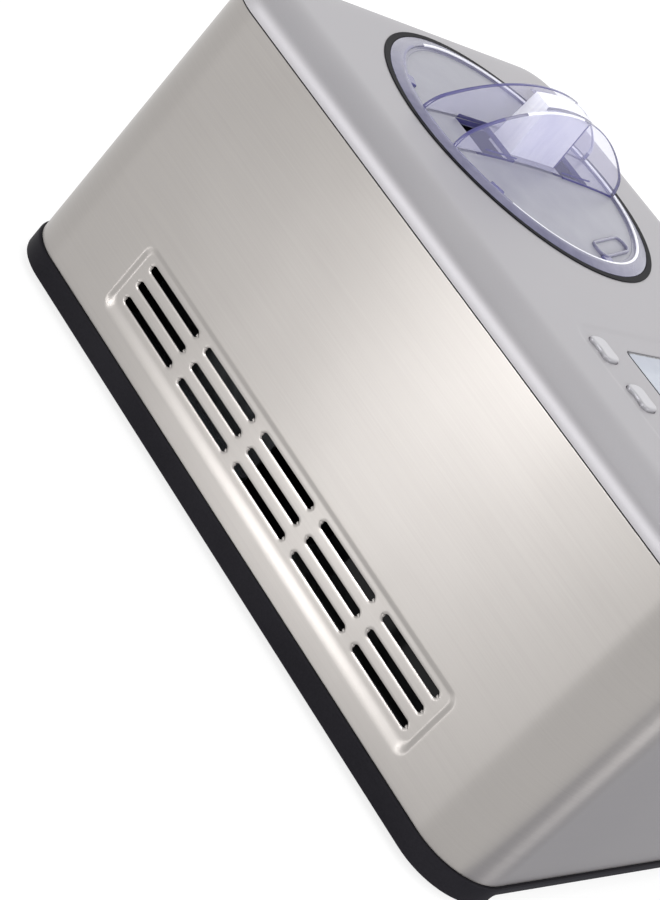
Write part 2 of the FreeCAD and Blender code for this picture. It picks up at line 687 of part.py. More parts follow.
def display_outline(grow):
    """Return the outline of the display window."""
    middle, half = "((display_back + display_front) / 2)", "((display_back - display_front) / 2)"
    size = f"(display_half_width + ({grow}))", f"({half} + ({grow}))"
    return rounded_box(*size, f"(display_radius + ({grow}))", "0", middle)


def display_box(grow):
    """Return a plain rectangle around the display window."""
    half = f"display_half_width + ({grow})"
    return box(f"-({half})", half, f"display_front - ({grow})", f"display_back + ({grow})")


def make_controls():
    """Window, display module, board with its switches, and four push buttons."""
    window = new_body("display_window", z=COVER_UNDER)
    pane = outline(new_sketch(window, "XY_Plane"), display_outline("0"))
    pad(window, pane, "cover_wall - panel_depth")
    flange = outline(new_sketch(window, "XY_Plane", "-display_flange_height"), display_box("display_flange"))
    pad(window, flange, "display_flange_height")

    board = new_body("control_board", z=f"{BOARD_TOP} - board_thickness")
    sheet_outline = box("-board_half_width", "board_half_width", "board_front", "board_back")
    pad(board, outline(new_sketch(board, "XY_Plane"), sheet_outline), "board_thickness")

    module = new_body("display_module", z=BOARD_TOP)
    glass = outline(new_sketch(module, "XY_Plane"), display_box("-display_flange / 2"))
    pad(module, glass, "board_drop - display_flange_height - fit_gap")

    flange_foot = "(cover_wall - panel_depth + button_rise + button_flange_height)"
    switches = []
    for label, side, step in BUTTONS:
        x, y = button_place(side, step)
        button = new_body(label, x, y, f"{COVER_UNDER} - button_flange_height")
        top = outline(new_sketch(button, "XY_Plane"), button_outline("0", "0", side))
        pad(button, top, flange_foot)
        lip_x, lip_y = "button_half_width + button_flange", "button_half_length + button_flange"
        lip = box(f"-({lip_x})", lip_x, f"-({lip_y})", lip_y)
        pad(button, outline(new_sketch(button, "XY_Plane"), lip), "button_flange_height")
        stem = new_sketch(button, "XY_Plane", "-button_stem_length")
        pad(button, outline(stem, square("button_stem")), "button_stem_length")
        switch_height = "board_drop - button_flange_height - button_stem_length - button_travel - fit_gap"
        switches.append(block("switch", "switch_half_width", switch_height, x, y, BOARD_TOP))
    group("button_switches", switches)


def make_lid_ring():
    """Black ring in the top cover, with the ledge that the lid sits on."""
    turned_body("lid_ring", [
        (LEDGE_BORE, WELL_TOP),
        ("ring_radius", WELL_TOP),
        ("ring_radius", f"{COVER_TOP} + ring_proud"),
        (RING_BORE, f"{COVER_TOP} + ring_proud"),
        (RING_BORE, LID_SEAT),
        (LEDGE_BORE, LID_SEAT),
    ], y="bowl_y")


def make_lid():
    """Clear lid: plate with a raised rim, two arched handle plates, a hollow post and two chutes."""
    under = f"({LID_PLATE_TOP} - lid_plate)"
    body = turned_body("lid", [
        ("0", under),
        (LID_INNER, under),
        (LID_INNER, LID_SEAT),
        (LID_RADIUS, LID_SEAT),
        (LID_RADIUS, LID_TOP),
        (LID_INNER, LID_TOP),
        (LID_INNER, LID_PLATE_TOP),
        ("0", LID_PLATE_TOP),
    ], y="bowl_y")
    loss = "(handle_half_length - handle_end_radius)"
    wide = f"(({loss}^2 + handle_rise^2 - handle_end_radius^2) / (2 * (handle_rise - handle_end_radius)))"
    share = f"handle_end_radius / ({wide} - handle_end_radius)"
    knee_x = f"({loss} + {share} * {loss})"
    knee_z = f"({LID_PLATE_TOP} + {share} * ({wide} - handle_rise))"
    foot = f"({under} + lid_plate / 2)"
    arch = [
        ("handle_half_length", foot),
        ("handle_half_length", LID_PLATE_TOP),
        (knee_x, knee_z, "handle_end_radius", 1),
        (f"-{knee_x}", knee_z, wide, 1),
        ("-handle_half_length", LID_PLATE_TOP, "handle_end_radius", 1),
        ("-handle_half_length", foot),
    ]
    for sign in (-1, 1):
        inner_face = f"{sign} * handle_gap / 2"
        lift = inner_face if sign > 0 else f"{inner_face} - handle_plate"
        pad(body, outline(new_sketch(body, "XZ_Plane", lift), arch), "handle_plate")
    crown = f"({LID_PLATE_TOP} + handle_rise - {wide})"
    post_z = f"({crown} + sqrt({wide}^2 - post_half_width^2))"
    post = [
        ("post_half_width", foot),
        ("post_half_width", post_z),
        ("-post_half_width", post_z, wide, 1),
        ("-post_half_width", foot),
    ]
    pad(body, outline(new_sketch(body, "XZ_Plane"), post), "handle_gap", both_ways=True)
    half_gap = "handle_gap / 2"
    hollow = box(
        "-post_half_width + post_wall", "post_half_width - post_wall",
        f"-{half_gap} + post_wall", f"{half_gap} - post_wall",
    )
    cut(body, outline(new_sketch(body, "XY_Plane", LID_SEAT), hollow), f"{post_z} - post_wall - {LID_SEAT}")
    chutes = new_sketch(body, "XY_Plane", LID_SEAT)
    for start, end in (("chute_start", "chute_end"), ("-chute_end", "-chute_start")):
        outline(chutes, box(start, end, f"-{half_gap}", half_gap))
    cut(body, chutes, f"{LID_PLATE_TOP} - {LID_SEAT} + 1")


def make_bowl_and_well():
    """Fixed cooling well and the lift-out bowl with a middle tube for the drive shaft."""
    well = new_body("cooling_well", y="bowl_y")
    outside = polygon("well_radius + well_wall", "jacket_flats", "180 / jacket_flats")
    floor = outline(new_sketch(well, "XY_Plane", WELL_FOOT), outside)
    pad(well, circle(floor, "well_hole"), "well_floor")
    wall = outline(new_sketch(well, "XY_Plane", f"{WELL_FOOT} + well_floor"), outside)
    pad(well, circle(wall, "well_radius"), f"{WELL_TOP} - {WELL_FOOT} - well_floor")
    turned_body("bowl", [
        ("tube_bore", BOWL_FOOT),
        (BOWL_RADIUS, BOWL_FOOT),
        (BOWL_RADIUS, WELL_TOP),
        (f"{LEDGE_BORE} - lid_gap", WELL_TOP),
        (f"{LEDGE_BORE} - lid_gap", f"{WELL_TOP} + bowl_rim_height"),
        (f"{BOWL_RADIUS} - bowl_wall", f"{WELL_TOP} + bowl_rim_height"),
        (f"{BOWL_RADIUS} - bowl_wall", BOWL_FLOOR),
        ("tube_bore + bowl_wall", BOWL_FLOOR),
        ("tube_bore + bowl_wall", TUBE_TOP),
        ("tube_bore", TUBE_TOP),
    ], y="bowl_y")


def make_paddle():
    """Mixing paddle: a sleeve over the bowl's tube, a head with a square socket, and two framed blades."""
    foot = f"({BOWL_FLOOR} + paddle_lift)"
    head = f"({HUB_CEILING} + hub_cap)"
    outer = "(hub_bore + hub_wall)"
    body = turned_body("paddle", [
        ("hub_bore", foot),
        (outer, foot),
        (outer, head),
        ("0", head),
        ("0", HUB_CEILING),
        ("hub_bore", HUB_CEILING),
    ], y="bowl_y")
    reach = f"({BOWL_RADIUS} - bowl_wall - paddle_clear)"
    root = "(hub_bore + hub_wall / 2)"
    blade = new_sketch(body, "XZ_Plane")
    for side in (1, -1):
        frame = [
            (root, foot),
            (f"{reach} - blade_bevel", foot),
            (reach, f"{foot} + blade_bevel"),
            (reach, f"{foot} + blade_outer_height"),
            (root, f"{foot} + blade_height"),
        ]
        inside = f"({outer} + blade_margin)"
        opening = [
            (inside, f"{foot} + blade_margin"),
            (f"{reach} - blade_margin", f"{foot} + blade_margin"),
            (f"{reach} - blade_margin", f"{foot} + blade_outer_height - blade_margin"),
            (inside, f"{foot} + blade_height - 2 * blade_margin"),
        ]
        for corners in (frame, opening):
            outline(blade, [(f"{side} * ({x})", z) for x, z in corners])
    pad(body, blade, "blade_thickness", both_ways=True)
    half = "(shaft_tip / 2 + tip_gap)"
    socket = outline(new_sketch(body, "XY_Plane", f"{HUB_CEILING} - 1"), square(half))
    cut(body, socket, "shaft_tip_height + 1")


def make_gear(body, module, teeth, level, phase):
    """Add a spur gear to a body: a root disc and straight-flanked teeth."""
    root = f"({module} * ({teeth} / 2 - 1.25))"
    tip = f"({module} * ({teeth} / 2 + 0.85))"
    disc = outline(new_sketch(body, "XY_Plane", level), polygon(root, teeth, phase))
    pad(body, disc, "gear_face")
    tooth = new_sketch(body, "XY_Plane", level)
    foot, head = f"({module} * 1.02)", f"({module} * 0.36)"
    corners = [(f"{root} - {module}", f"-{foot}"), (tip, f"-{head}"), (tip, head), (f"{root} - {module}", foot)]
    outline(tooth, [(f"({x}) * cos({phase}) - ({y}) * sin({phase})",
                     f"({x}) * sin({phase}) + ({y}) * cos({phase})") for x, y in corners])
    around(body, pad(body, tooth, "gear_face"), teeth)


def bore_through(body, radius, level, length):
    """Cut a round hole along the body's Z axis."""
    feature = cut(body, circle(new_sketch(body, "XY_Plane", level), radius), length)
    body.Tip = feature


def make_drive():
    """Paddle drive: shaft and output gear, double gear on its pin, motor with its pinion, and the gearbox."""
    half_pitch = "(180 / pinion_teeth)"
    shaft = new_body("drive_shaft", y="bowl_y")
    shaft_foot = f"({GEARBOX_FLOOR} + fit_gap)"
    tip_foot = f"({HUB_CEILING} - tip_gap)"
    pad(shaft, circle(new_sketch(shaft, "XY_Plane", shaft_foot), "shaft_radius"), f"{tip_foot} - {shaft_foot}")
    pad(shaft, outline(new_sketch(shaft, "XY_Plane", tip_foot), square("shaft_tip / 2")), "shaft_tip_height")

    output = new_body("output_gear", y="bowl_y")
    make_gear(output, "gear_module_out", "wheel_teeth", OUTPUT_LEVEL, "0")
    bore_through(output, "shaft_radius + shaft_gap", f"{OUTPUT_LEVEL} - 1", "gear_face + 2")

    double = new_body("double_gear", y=DOUBLE_Y)
    make_gear(double, "gear_module", "wheel_teeth", MOTOR_LEVEL, "0")
    hub = circle(new_sketch(double, "XY_Plane", f"{MOTOR_LEVEL} + gear_face"), "axle_radius * 2")
    pad(double, hub, "gear_level_gap")
    make_gear(double, "gear_module_out", "pinion_teeth", OUTPUT_LEVEL, half_pitch)
    bore_through(double, "axle_radius + shaft_gap", f"{MOTOR_LEVEL} - 1", "2 * gear_face + gear_level_gap + 2")

    pinion = new_body("motor_pinion", y=MOTOR_Y)
    make_gear(pinion, "gear_module", "pinion_teeth", MOTOR_LEVEL, half_pitch)
    spindle_foot = f"({GEARBOX_FOOT} - motor_bore + fit_gap)"
    spindle = circle(new_sketch(pinion, "XY_Plane", spindle_foot), "axle_radius")
    pinion.Tip = pad(pinion, spindle, f"{MOTOR_LEVEL} - {spindle_foot}")

    keep(cylinder("gear_pin", "axle_radius", f"{GEARBOX_COVER_FOOT} - {GEARBOX_FLOOR}", y=DOUBLE_Y, z=GEARBOX_FLOOR),
         "gear_pin")

    motor = new_body("paddle_motor", y=MOTOR_Y)
    can = outline(new_sketch(motor, "XY_Plane", f"{GEARBOX_FOOT} - motor_height"), square("motor_half"))
    pad(motor, can, "motor_height")
    bore_through(motor, "axle_radius + shaft_gap", f"{GEARBOX_FOOT} - motor_bore", "motor_bore + 1")

    tip_out = "(gear_module_out * (wheel_teeth / 2 + 0.85) + gearbox_clear)"
    back, front = f"(bowl_y + {tip_out})", f"({MOTOR_Y} - gear_module * pinion_teeth / 2 - 2 * gearbox_clear)"
    middle, half = f"(({back} + {front}) / 2)", f"(({back} - {front}) / 2)"

    def shell(grow):
        """Return the gearbox outline, grown outwards."""
        bevel = f"(gearbox_bevel + 0.6 * {grow})"
        return beveled_box(f"({tip_out} + {grow})", f"({half} + {grow})", bevel, "0", middle)

    case = new_body("gearbox_case")
    pad(case, outline(new_sketch(case, "XY_Plane", GEARBOX_FOOT), shell("gearbox_wall")), "gearbox_wall")
    wall = outline(new_sketch(case, "XY_Plane", GEARBOX_FLOOR), shell("gearbox_wall"))
    outline(wall, shell("0"))
    pad(case, wall, f"{GEARBOX_COVER_FOOT} - {GEARBOX_FLOOR}")
    seats = new_sketch(case, "XY_Plane", GEARBOX_FLOOR)
    for radius, y in (("axle_radius", DOUBLE_Y), ("shaft_radius", "bowl_y")):
        outline(seats, square(f"{radius} * 2", y=y))
        circle(seats, f"{radius} + shaft_gap", y=y)
    pad(case, seats, "axle_seat")
    shaft_hole = outline(new_sketch(case, "XY_Plane", f"{GEARBOX_FOOT} - 1"), square("axle_radius * 2", y=MOTOR_Y))
    cut(case, shaft_hole, "gearbox_wall + 2")

    cover = new_body("gearbox_cover")
    pad(cover, outline(new_sketch(cover, "XY_Plane", GEARBOX_COVER_FOOT), shell("gearbox_wall")), "gearbox_wall")
    boss = outline(new_sketch(cover, "XY_Plane", GEARBOX_TOP), square(BOSS_HALF, y="bowl_y"))
    pad(cover, boss, "boss_height")
    bearing = circle(new_sketch(cover, "XY_Plane", f"{GEARBOX_COVER_FOOT} - 1"), "shaft_radius + shaft_gap", y="bowl_y")
    cut(cover, bearing, "gearbox_wall + boss_height + 2")

    seal = new_body("shaft_seal", y="bowl_y", z=BOSS_TOP)
    lip = outline(new_sketch(seal, "XY_Plane"), polygon("well_hole - seat_gap * 5", 12))
    pad(seal, outline(lip, polygon("shaft_radius + fit_gap", 12)), f"{WELL_FOOT} + well_floor - fit_gap - {BOSS_TOP}")

    bracket = new_body("motor_bracket", y="bowl_y")
    out, sheet_wall = "bracket_half_width", "bracket_plate"
    inside = f"({out} - {sheet_wall})"
    hat = []
    for side in (1, -1):
        leg = [
            (f"{side} * {inside}", f"{BRACKET_TOP} - {sheet_wall}"),
            (f"{side} * {inside}", TRAY_FLOOR),
            (f"{side} * ({out} + bracket_foot)", TRAY_FLOOR),
            (f"{side} * ({out} + bracket_foot)", f"{TRAY_FLOOR} + {sheet_wall}"),
            (f"{side} * {out}", f"{TRAY_FLOOR} + {sheet_wall}"),
            (f"{side} * {out}", BRACKET_TOP),
        ]
        hat += leg if side > 0 else leg[::-1]
    pad(bracket, outline(new_sketch(bracket, "XZ_Plane"), hat), "bracket_length", both_ways=True)
    boss_hole = new_sketch(bracket, "XY_Plane", f"{BRACKET_TOP} - {sheet_wall} - 1")
    cut(bracket, outline(boss_hole, square(f"{BOSS_HALF} + seat_gap")), f"{sheet_wall} + 2")


def make_insulation():
    """Foam block around the well with two pipe holes, and the evaporator jacket between them."""
    flat_first = "180 / jacket_flats"
    foam = new_body("insulation_foam", y="bowl_y")
    floor = outline(new_sketch(foam, "XY_Plane", BRACKET_TOP), square("foam_half"))
    pad(foam, outline(floor, square(f"{BOSS_HALF} + seat_gap")), "foam_floor")
    wall = outline(new_sketch(foam, "XY_Plane", WELL_FOOT), square("foam_half"))
    pad(foam, outline(wall, polygon(f"{JACKET_OUTSIDE} + seat_gap", "jacket_flats", flat_first)),
        f"{WELL_TOP} - {WELL_FOOT}")
    holes = new_sketch(foam, "XZ_Plane", "well_radius")
    outline(holes, square("pipe_radius + fit_gap", "0", SUCTION_LEVEL))
    outline(holes, square("capillary_radius + fit_gap", "0", "capillary_z"))
    cut(foam, holes, "foam_half - well_radius + 1")
    jacket = new_body("evaporator_jacket", y="bowl_y", z=f"{WELL_FOOT} + jacket_start")
    sheet_ring = outline(new_sketch(jacket, "XY_Plane"), polygon(JACKET_OUTSIDE, "jacket_flats", flat_first))
    outline(sheet_ring, polygon(JACKET_RADIUS, "jacket_flats", flat_first))
    pad(jacket, sheet_ring, "jacket_height")


def make_compressor():
    """Hermetic compressor with its foot plate, rubber mounts and terminal box."""
    shell = new_body("compressor_shell", "pump_x", "pump_y", PUMP_FOOT)
    pot = beveled_box("pump_half_width", "pump_half_length", "pump_bevel")
    pad(shell, outline(new_sketch(shell, "XY_Plane"), pot), "pump_height")

    plate = new_body("compressor_plate", "pump_x", "pump_y", PUMP_PLATE_FOOT)
    half_x, half_y = "(pump_half_width + pump_plate_margin)", "(pump_half_length + pump_plate_margin)"
    edge = box(f"-{half_x}", half_x, f"-{half_y}", half_y)
    pad(plate, outline(new_sketch(plate, "XY_Plane"), edge), "pump_plate")

    mounts = []
    for sx in (-1, 1):
        for sy in (-1, 1):
            x, y = f"pump_x + {sx} * {PUMP_MOUNT_X}", f"pump_y + {sy} * {PUMP_MOUNT_Y}"
            mounts.append(block("mount", "mount_half", "mount_height", x, y, f"{TRAY_FLOOR} + mount_seat"))
    group("compressor_mounts", mounts)

    relay = new_body("terminal_box", "pump_x", "pump_y + pump_half_length", f"{TRAY_FLOOR} + relay_z")
    lid = box("-relay_width / 2", "relay_width / 2", "0", "relay_depth")
    pad(relay, outline(new_sketch(relay, "XY_Plane"), lid), "relay_height")


def make_condenser():
    """Flat-tube condenser with a grid of air cells, and an upright tank at each end."""
    core = new_body("condenser_core", "condenser_x", "condenser_y", CONDENSER_Z)
    half = "condenser_side / 2"
    pad(core, outline(new_sketch(core, "YZ_Plane"), square(half)), "condenser_depth")
    column, level = "(condenser_side / fin_columns)", "(condenser_side / fin_rows)"
    cell = new_sketch(core, "YZ_Plane")
    outline(cell, box(f"-{half} + fin_wall / 2", f"-{half} + {column} - fin_wall / 2",
                      f"-{half} + fin_wall / 2", f"-{half} + {level} - fin_wall / 2"))
    grid(core, cut(core, cell), (column, "fin_columns"), (level, "fin_rows"))
    tanks = []
    for side in (-1, 1):
        x, y = "condenser_x + condenser_depth / 2", f"condenser_y + {side} * ({half} + tank_half)"
        foot = f"{CONDENSER_Z} - {half} + tank_inset"
        tanks.append(block("tank", "tank_half", "condenser_side - 2 * tank_inset", x, y, foot))
    group("condenser_tanks", tanks)


def make_fan():
    """Shroud on the condenser, fan motor on struts, and the fan."""
    shroud = new_body("fan_shroud", SHROUD_X, "condenser_y", CONDENSER_Z)
    half = "condenser_side / 2"
    plate = outline(new_sketch(shroud, "YZ_Plane"), square(half))
    pad(shroud, outline(plate, polygon("shroud_radius", 16, "11.25")), "shroud_plate")
    width = "strut_width / 2"
    for arms in (box(f"-{half}", half, f"-{width}", width), box(f"-{width}", width, f"-{half}", half)):
        pad(shroud, outline(new_sketch(shroud, "YZ_Plane", "-shroud_depth"), arms), "strut_thickness")
    legs = new_sketch(shroud, "YZ_Plane", "-shroud_depth")
    for side in (-1, 1):
        edges = sorted((f"{side} * {half}", f"{side} * ({half} - strut_thickness)"), key=number)
        outline(legs, box(*edges, f"-{width}", width))
        outline(legs, box(f"-{width}", width, *edges))
    pad(shroud, legs, "shroud_depth")
    hole = circle(new_sketch(shroud, "YZ_Plane", "-shroud_depth - 1"), "axle_radius + shaft_gap")
    cut(shroud, hole, "strut_thickness + 2")

    motor = new_body("fan_motor", f"{FAN_MOTOR_X} - fan_motor_length", "condenser_y", CONDENSER_Z)
    pad(motor, outline(new_sketch(motor, "YZ_Plane"), square("fan_motor_half")), "fan_motor_length")

    fan = new_body("fan_rotor", f"{FAN_MOTOR_X} + strut_thickness + fan_gap", "condenser_y", CONDENSER_Z)
    fan.Placement.Rotation = Rotation(Vector(0, 1, 0), 90)
    pad(fan, outline(new_sketch(fan, "XY_Plane"), polygon("fan_hub", 20)), "fan_depth")
    root = "(fan_hub * 0.8)"
    corners = []
    for along, across in ((1, -1), (1, 1), (-1, 1), (-1, -1)):
        a, b = f"{along} * blade_chord / 2", f"{across} * fan_blade_wall / 2"
        corners.append((f"{a} * cos(blade_pitch) - {b} * sin(blade_pitch)",
                        f"fan_depth / 2 + {a} * sin(blade_pitch) + {b} * cos(blade_pitch)"))
    blade = pad(fan, outline(new_sketch(fan, "YZ_Plane", root), corners), f"fan_radius - {root}")
    around(fan, blade, "fan_blades")
    doc.recompute()
    spindle = circle(new_sketch(fan, "XY_Plane", "-strut_thickness - fan_gap + fit_gap"), "axle_radius")
    fan.Tip = pad(fan, spindle, "strut_thickness + fan_gap - fit_gap")


def pipe(label, route, radius="pipe_radius"):
    """Make an eight-sided pipe with mitred corners along a route of points."""
    points = [Vector(*(number(c) for c in point)) for point in route]
    ahead = points[1] - points[0]
    across = ahead.cross(Vector(1, 1, 1)).normalize() * (number(radius) / math.cos(math.pi / 8))
    ring = [points[0] + Rotation(ahead, 45 * step).multVec(across) for step in range(9)]
    item = doc.addObject("Part::Feature", label)
    item.Shape = Part.makePolygon(points).makePipeShell([Part.makePolygon(ring)], True, True, 1)
    return keep(item, label)


def make_pipework():
    """Filter drier and the pipes of the cooling circuit."""
    tank_x = "condenser_x + condenser_depth / 2"
    tank_reach = "(condenser_side / 2 + tank_half)"
    back_tank, front_tank = f"condenser_y + {tank_reach}", f"condenser_y - {tank_reach}"
    tank_top = f"({CONDENSER_Z} + condenser_side / 2 - tank_inset)"
    drier_y = f"({back_tank} + tank_half + drier_gap)"
    drier_foot = f"({tank_top} - drier_length)"
    keep(prism("filter_drier", "drier_radius", 12, "drier_length", tank_x, drier_y, drier_foot), "filter_drier")
    arch = f"{tank_top} + pipe_rise"
    pipe("liquid_pipe", [
        (tank_x, back_tank, tank_top),
        (tank_x, back_tank, arch),
        (tank_x, drier_y, arch),
        (tank_x, drier_y, tank_top),
    ])
    jacket_y = f"bowl_y - {JACKET_OUTSIDE}"
    drop = f"{drier_foot} - pipe_rise"
    pipe("capillary_pipe", [
        (tank_x, drier_y, drier_foot),
        (tank_x, drier_y, drop),
        ("0", drier_y, drop),
        ("0", drier_y, "capillary_z"),
        ("0", jacket_y, "capillary_z"),
    ], "capillary_radius")
    pump_top = f"({PUMP_FOOT} + pump_height)"
    suction_y, discharge_y = "pump_y + pump_port", "pump_y - pump_port"
    pipe("suction_pipe", [
        ("0", jacket_y, SUCTION_LEVEL),
        ("0", suction_y, SUCTION_LEVEL),
        ("pump_x", suction_y, SUCTION_LEVEL),
        ("pump_x", suction_y, pump_top),
    ])
    pipe("discharge_pipe", [
        ("pump_x", discharge_y, pump_top),
        ("pump_x", discharge_y, SUCTION_LEVEL),
        (tank_x, discharge_y, SUCTION_LEVEL),
        (tank_x, front_tank, SUCTION_LEVEL),
        (tank_x, front_tank, tank_top),
    ])


def make_cord_gland():
    """Gland in the back wall, with its flange outside."""
    body = new_body("cord_gland", "gland_x", "body_depth / 2", "gland_z")
    flange = outline(new_sketch(body, "XZ_Plane", "-gland_flange_height"), polygon("gland_radius + gland_flange", 6))
    pad(body, outline(flange, polygon("gland_bore", 12)), "gland_flange_height")
    tube = outline(new_sketch(body, "XZ_Plane"), polygon("gland_radius", 12))
    pad(body, outline(tube, polygon("gland_bore", 12)), "gland_length")


def check_and_write():
    """Check every object, then write each piece to its own file."""
    doc.recompute()
    for item in doc.Objects:
        if any(state in ("Invalid", "Error") for state in item.State):
            raise ValueError(f"{item.Name} failed: {item.State}")
    os.makedirs("parts", exist_ok=True)
    for item in subparts:
        shape = item.Shape
        if shape.isNull() or not shape.isValid() or not shape.Solids:
            raise ValueError(f"{item.Label} has no sound solid")
        shape.exportStep(f"parts/{item.Label}.step")
        print(f"{item.Label}: {len(shape.Solids)} solid(s), {shape.Volume / 1000:.2f} cm3")


make_base_tray()
make_feet()
make_body_wrap()
make_seam_gasket()
make_top_cover()
make_controls()
make_lid_ring()
make_lid()
make_bowl_and_well()
make_paddle()
make_drive()
make_insulation()
make_compressor()
make_condenser()
make_fan()
make_pipework()
make_cord_gland()
check_and_write()
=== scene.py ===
"""Ice cream maker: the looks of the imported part, in metres, in the frame of its solids."""
import json
import logging
import math
from collections.abc import Callable
from dataclasses import dataclass, field
from enum import Enum, IntEnum
from functools import cache, partial

import bmesh
import bpy
from mathutils import Matrix, Vector


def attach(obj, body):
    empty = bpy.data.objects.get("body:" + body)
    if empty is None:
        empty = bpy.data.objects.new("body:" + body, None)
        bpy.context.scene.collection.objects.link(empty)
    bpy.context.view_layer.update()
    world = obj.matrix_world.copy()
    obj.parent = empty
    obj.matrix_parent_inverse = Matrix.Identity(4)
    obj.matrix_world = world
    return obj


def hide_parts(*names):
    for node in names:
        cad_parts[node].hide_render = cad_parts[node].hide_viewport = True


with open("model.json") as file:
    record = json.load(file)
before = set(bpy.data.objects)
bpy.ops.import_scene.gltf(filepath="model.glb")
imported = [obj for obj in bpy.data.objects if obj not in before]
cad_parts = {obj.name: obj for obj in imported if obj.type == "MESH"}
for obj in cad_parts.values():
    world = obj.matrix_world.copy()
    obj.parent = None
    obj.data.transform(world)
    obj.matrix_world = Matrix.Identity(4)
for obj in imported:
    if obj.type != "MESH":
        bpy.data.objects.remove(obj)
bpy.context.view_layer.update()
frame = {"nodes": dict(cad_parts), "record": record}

LOG = logging.getLogger("ice_cream_maker")
MILLIMETRE = 0.001
# Millimetres below which a length counts as nothing, and within which points are joined.
TINY = 1e-6
WELD = 1e-4

Point = tuple[float, float]
Place = tuple[float, float, float]
Loop = list[bmesh.types.BMVert]
Piece = bpy.types.Object
Socket = bpy.types.NodeSocket
Adder = Callable[..., bpy.types.Node]


# ---- finishes


def linear(code: str) -> tuple[float, float, float, float]:
    """Turn an sRGB colour into a linear one.

    Args:
        code: Its six hex digits.

    Returns:
        Linear red, green and blue, and an alpha of one.
    """
    parts = [int(code[i:i + 2], 16) / 255 for i in (0, 2, 4)]
    red, green, blue = [p / 12.92 if p <= 0.04045 else ((p + 0.055) / 1.055) ** 2.4 for p in parts]
    return red, green, blue, 1.0


def add_node(tree: bpy.types.NodeTree, kind: str, inputs: dict | None = None, **settings: object) -> bpy.types.Node:
    """Add a node to a tree.

    Args:
        tree: The tree.
        kind: Blender's name of the node type.
        inputs: A value or the socket that feeds it, by input name or number.
        settings: Properties of the node.

    Returns:
        The node.
    """
    made = tree.nodes.new(kind)
    for key, value in settings.items():
        setattr(made, key, value)
    for key, value in (inputs or {}).items():
        if isinstance(value, bpy.types.NodeSocket):
            tree.links.new(value, made.inputs[key])
        else:
            made.inputs[key].default_value = value
    return made


def adder(owner: bpy.types.Material | bpy.types.World) -> Adder:
    """Empty the nodes of a material or world.

    Args:
        owner: The material or world.

    Returns:
        The function add_node for its tree.
    """
    owner.use_nodes = True
    owner.node_tree.nodes.clear()
    return partial(add_node, owner.node_tree)


class Grain(Enum):
    """How a finish's fine pattern lies, as its scale along x, y and z."""

    SPECKLE = (1.0, 1.0, 1.0)
    LEVEL = (0.006, 0.006, 1.0)
    UPRIGHT = (1.0, 1.0, 0.03)


@dataclass(frozen=True)
class Finish:
    """A real material and how its surface was made.

    Attributes:
        name: Common name of the material.
        light: sRGB hex of its paler places.
        dark: sRGB hex of its darker places.
        roughness: Mean roughness.
        spread: Change of roughness either way.
        metallic: One for bare metal.
        grain: How the fine pattern lies.
        grain_mm: Width of the fine pattern.
        cloud_mm: Width of the slow change in tone.
        bump_mm: Depth of the fine pattern.
        clear: Share of light that passes straight through.
        ior: Index of refraction.
        coat: Weight of a clear coat.
        brushed: Anisotropy of a brushed metal.
        gloss: Strength of reflection where it isn't metal.
    """

    name: str
    light: str
    dark: str
    roughness: float
    spread: float = 0.05
    metallic: float = 0.0
    grain: Grain = Grain.SPECKLE
    grain_mm: float = 0.8
    cloud_mm: float = 60.0
    bump_mm: float = 0.01
    clear: float = 0.0
    ior: float = 1.5
    coat: float = 0.0
    brushed: float = 0.0
    gloss: float = 0.5

    # Values of both patterns together between which the tones are spread.
    PATTERN_LOW = 0.7
    PATTERN_HIGH = 1.3
    # Brushed highlights lie across the brush marks.
    QUARTER_TURN = 0.25

    def build(self) -> bpy.types.Material:
        """Make the material with its nodes.

        Returns:
            The material.
        """
        material = bpy.data.materials.new(self.name)
        add = adder(material)
        place = add("ShaderNodeTexCoord").outputs["Object"]
        scale = [part / (self.grain_mm * MILLIMETRE) for part in self.grain.value]
        lie = add("ShaderNodeMapping", {"Vector": place, "Scale": scale})
        grit = add("ShaderNodeTexNoise", {
            "Vector": lie.outputs["Vector"], "Scale": 1.0, "Detail": 3.0, "Roughness": 0.6}).outputs["Fac"]
        cloud = add("ShaderNodeTexNoise", {
            "Vector": place, "Scale": 1.0 / (self.cloud_mm * MILLIMETRE), "Detail": 2.0}).outputs["Fac"]
        both = add("ShaderNodeMath", {0: grit, 1: cloud}, operation="ADD").outputs[0]
        span = {"Value": both, "From Min": self.PATTERN_LOW, "From Max": self.PATTERN_HIGH}
        tone = add("ShaderNodeMapRange", span).outputs[0]
        colour = add("ShaderNodeMix", {0: tone, 6: linear(self.dark), 7: linear(self.light)}, data_type="RGBA")
        rough = add("ShaderNodeMapRange", span | {
            "To Min": max(self.roughness - self.spread, 0.0), "To Max": self.roughness + self.spread})
        relief = add("ShaderNodeBump", {"Height": grit, "Distance": self.bump_mm * MILLIMETRE, "Strength": 1.0})
        inputs = {
            "Base Color": colour.outputs[2], "Roughness": rough.outputs[0], "Normal": relief.outputs["Normal"],
            "Metallic": self.metallic, "IOR": self.ior, "Alpha": 1.0 - self.clear, "Coat Weight": self.coat,
            "Specular IOR Level": self.gloss}
        if self.brushed:
            way = add("ShaderNodeTangent", direction_type="RADIAL", axis="Z")
            inputs |= {"Anisotropic": self.brushed, "Anisotropic Rotation": self.QUARTER_TURN,
                       "Tangent": way.outputs[0]}
        shader = add("ShaderNodeBsdfPrincipled", inputs)
        add("ShaderNodeOutputMaterial", {"Surface": shader.outputs["BSDF"]})
        return material


# Styrene acrylonitrile, the clear plastic of the lid.
SAN = partial(Finish, ior=1.57)


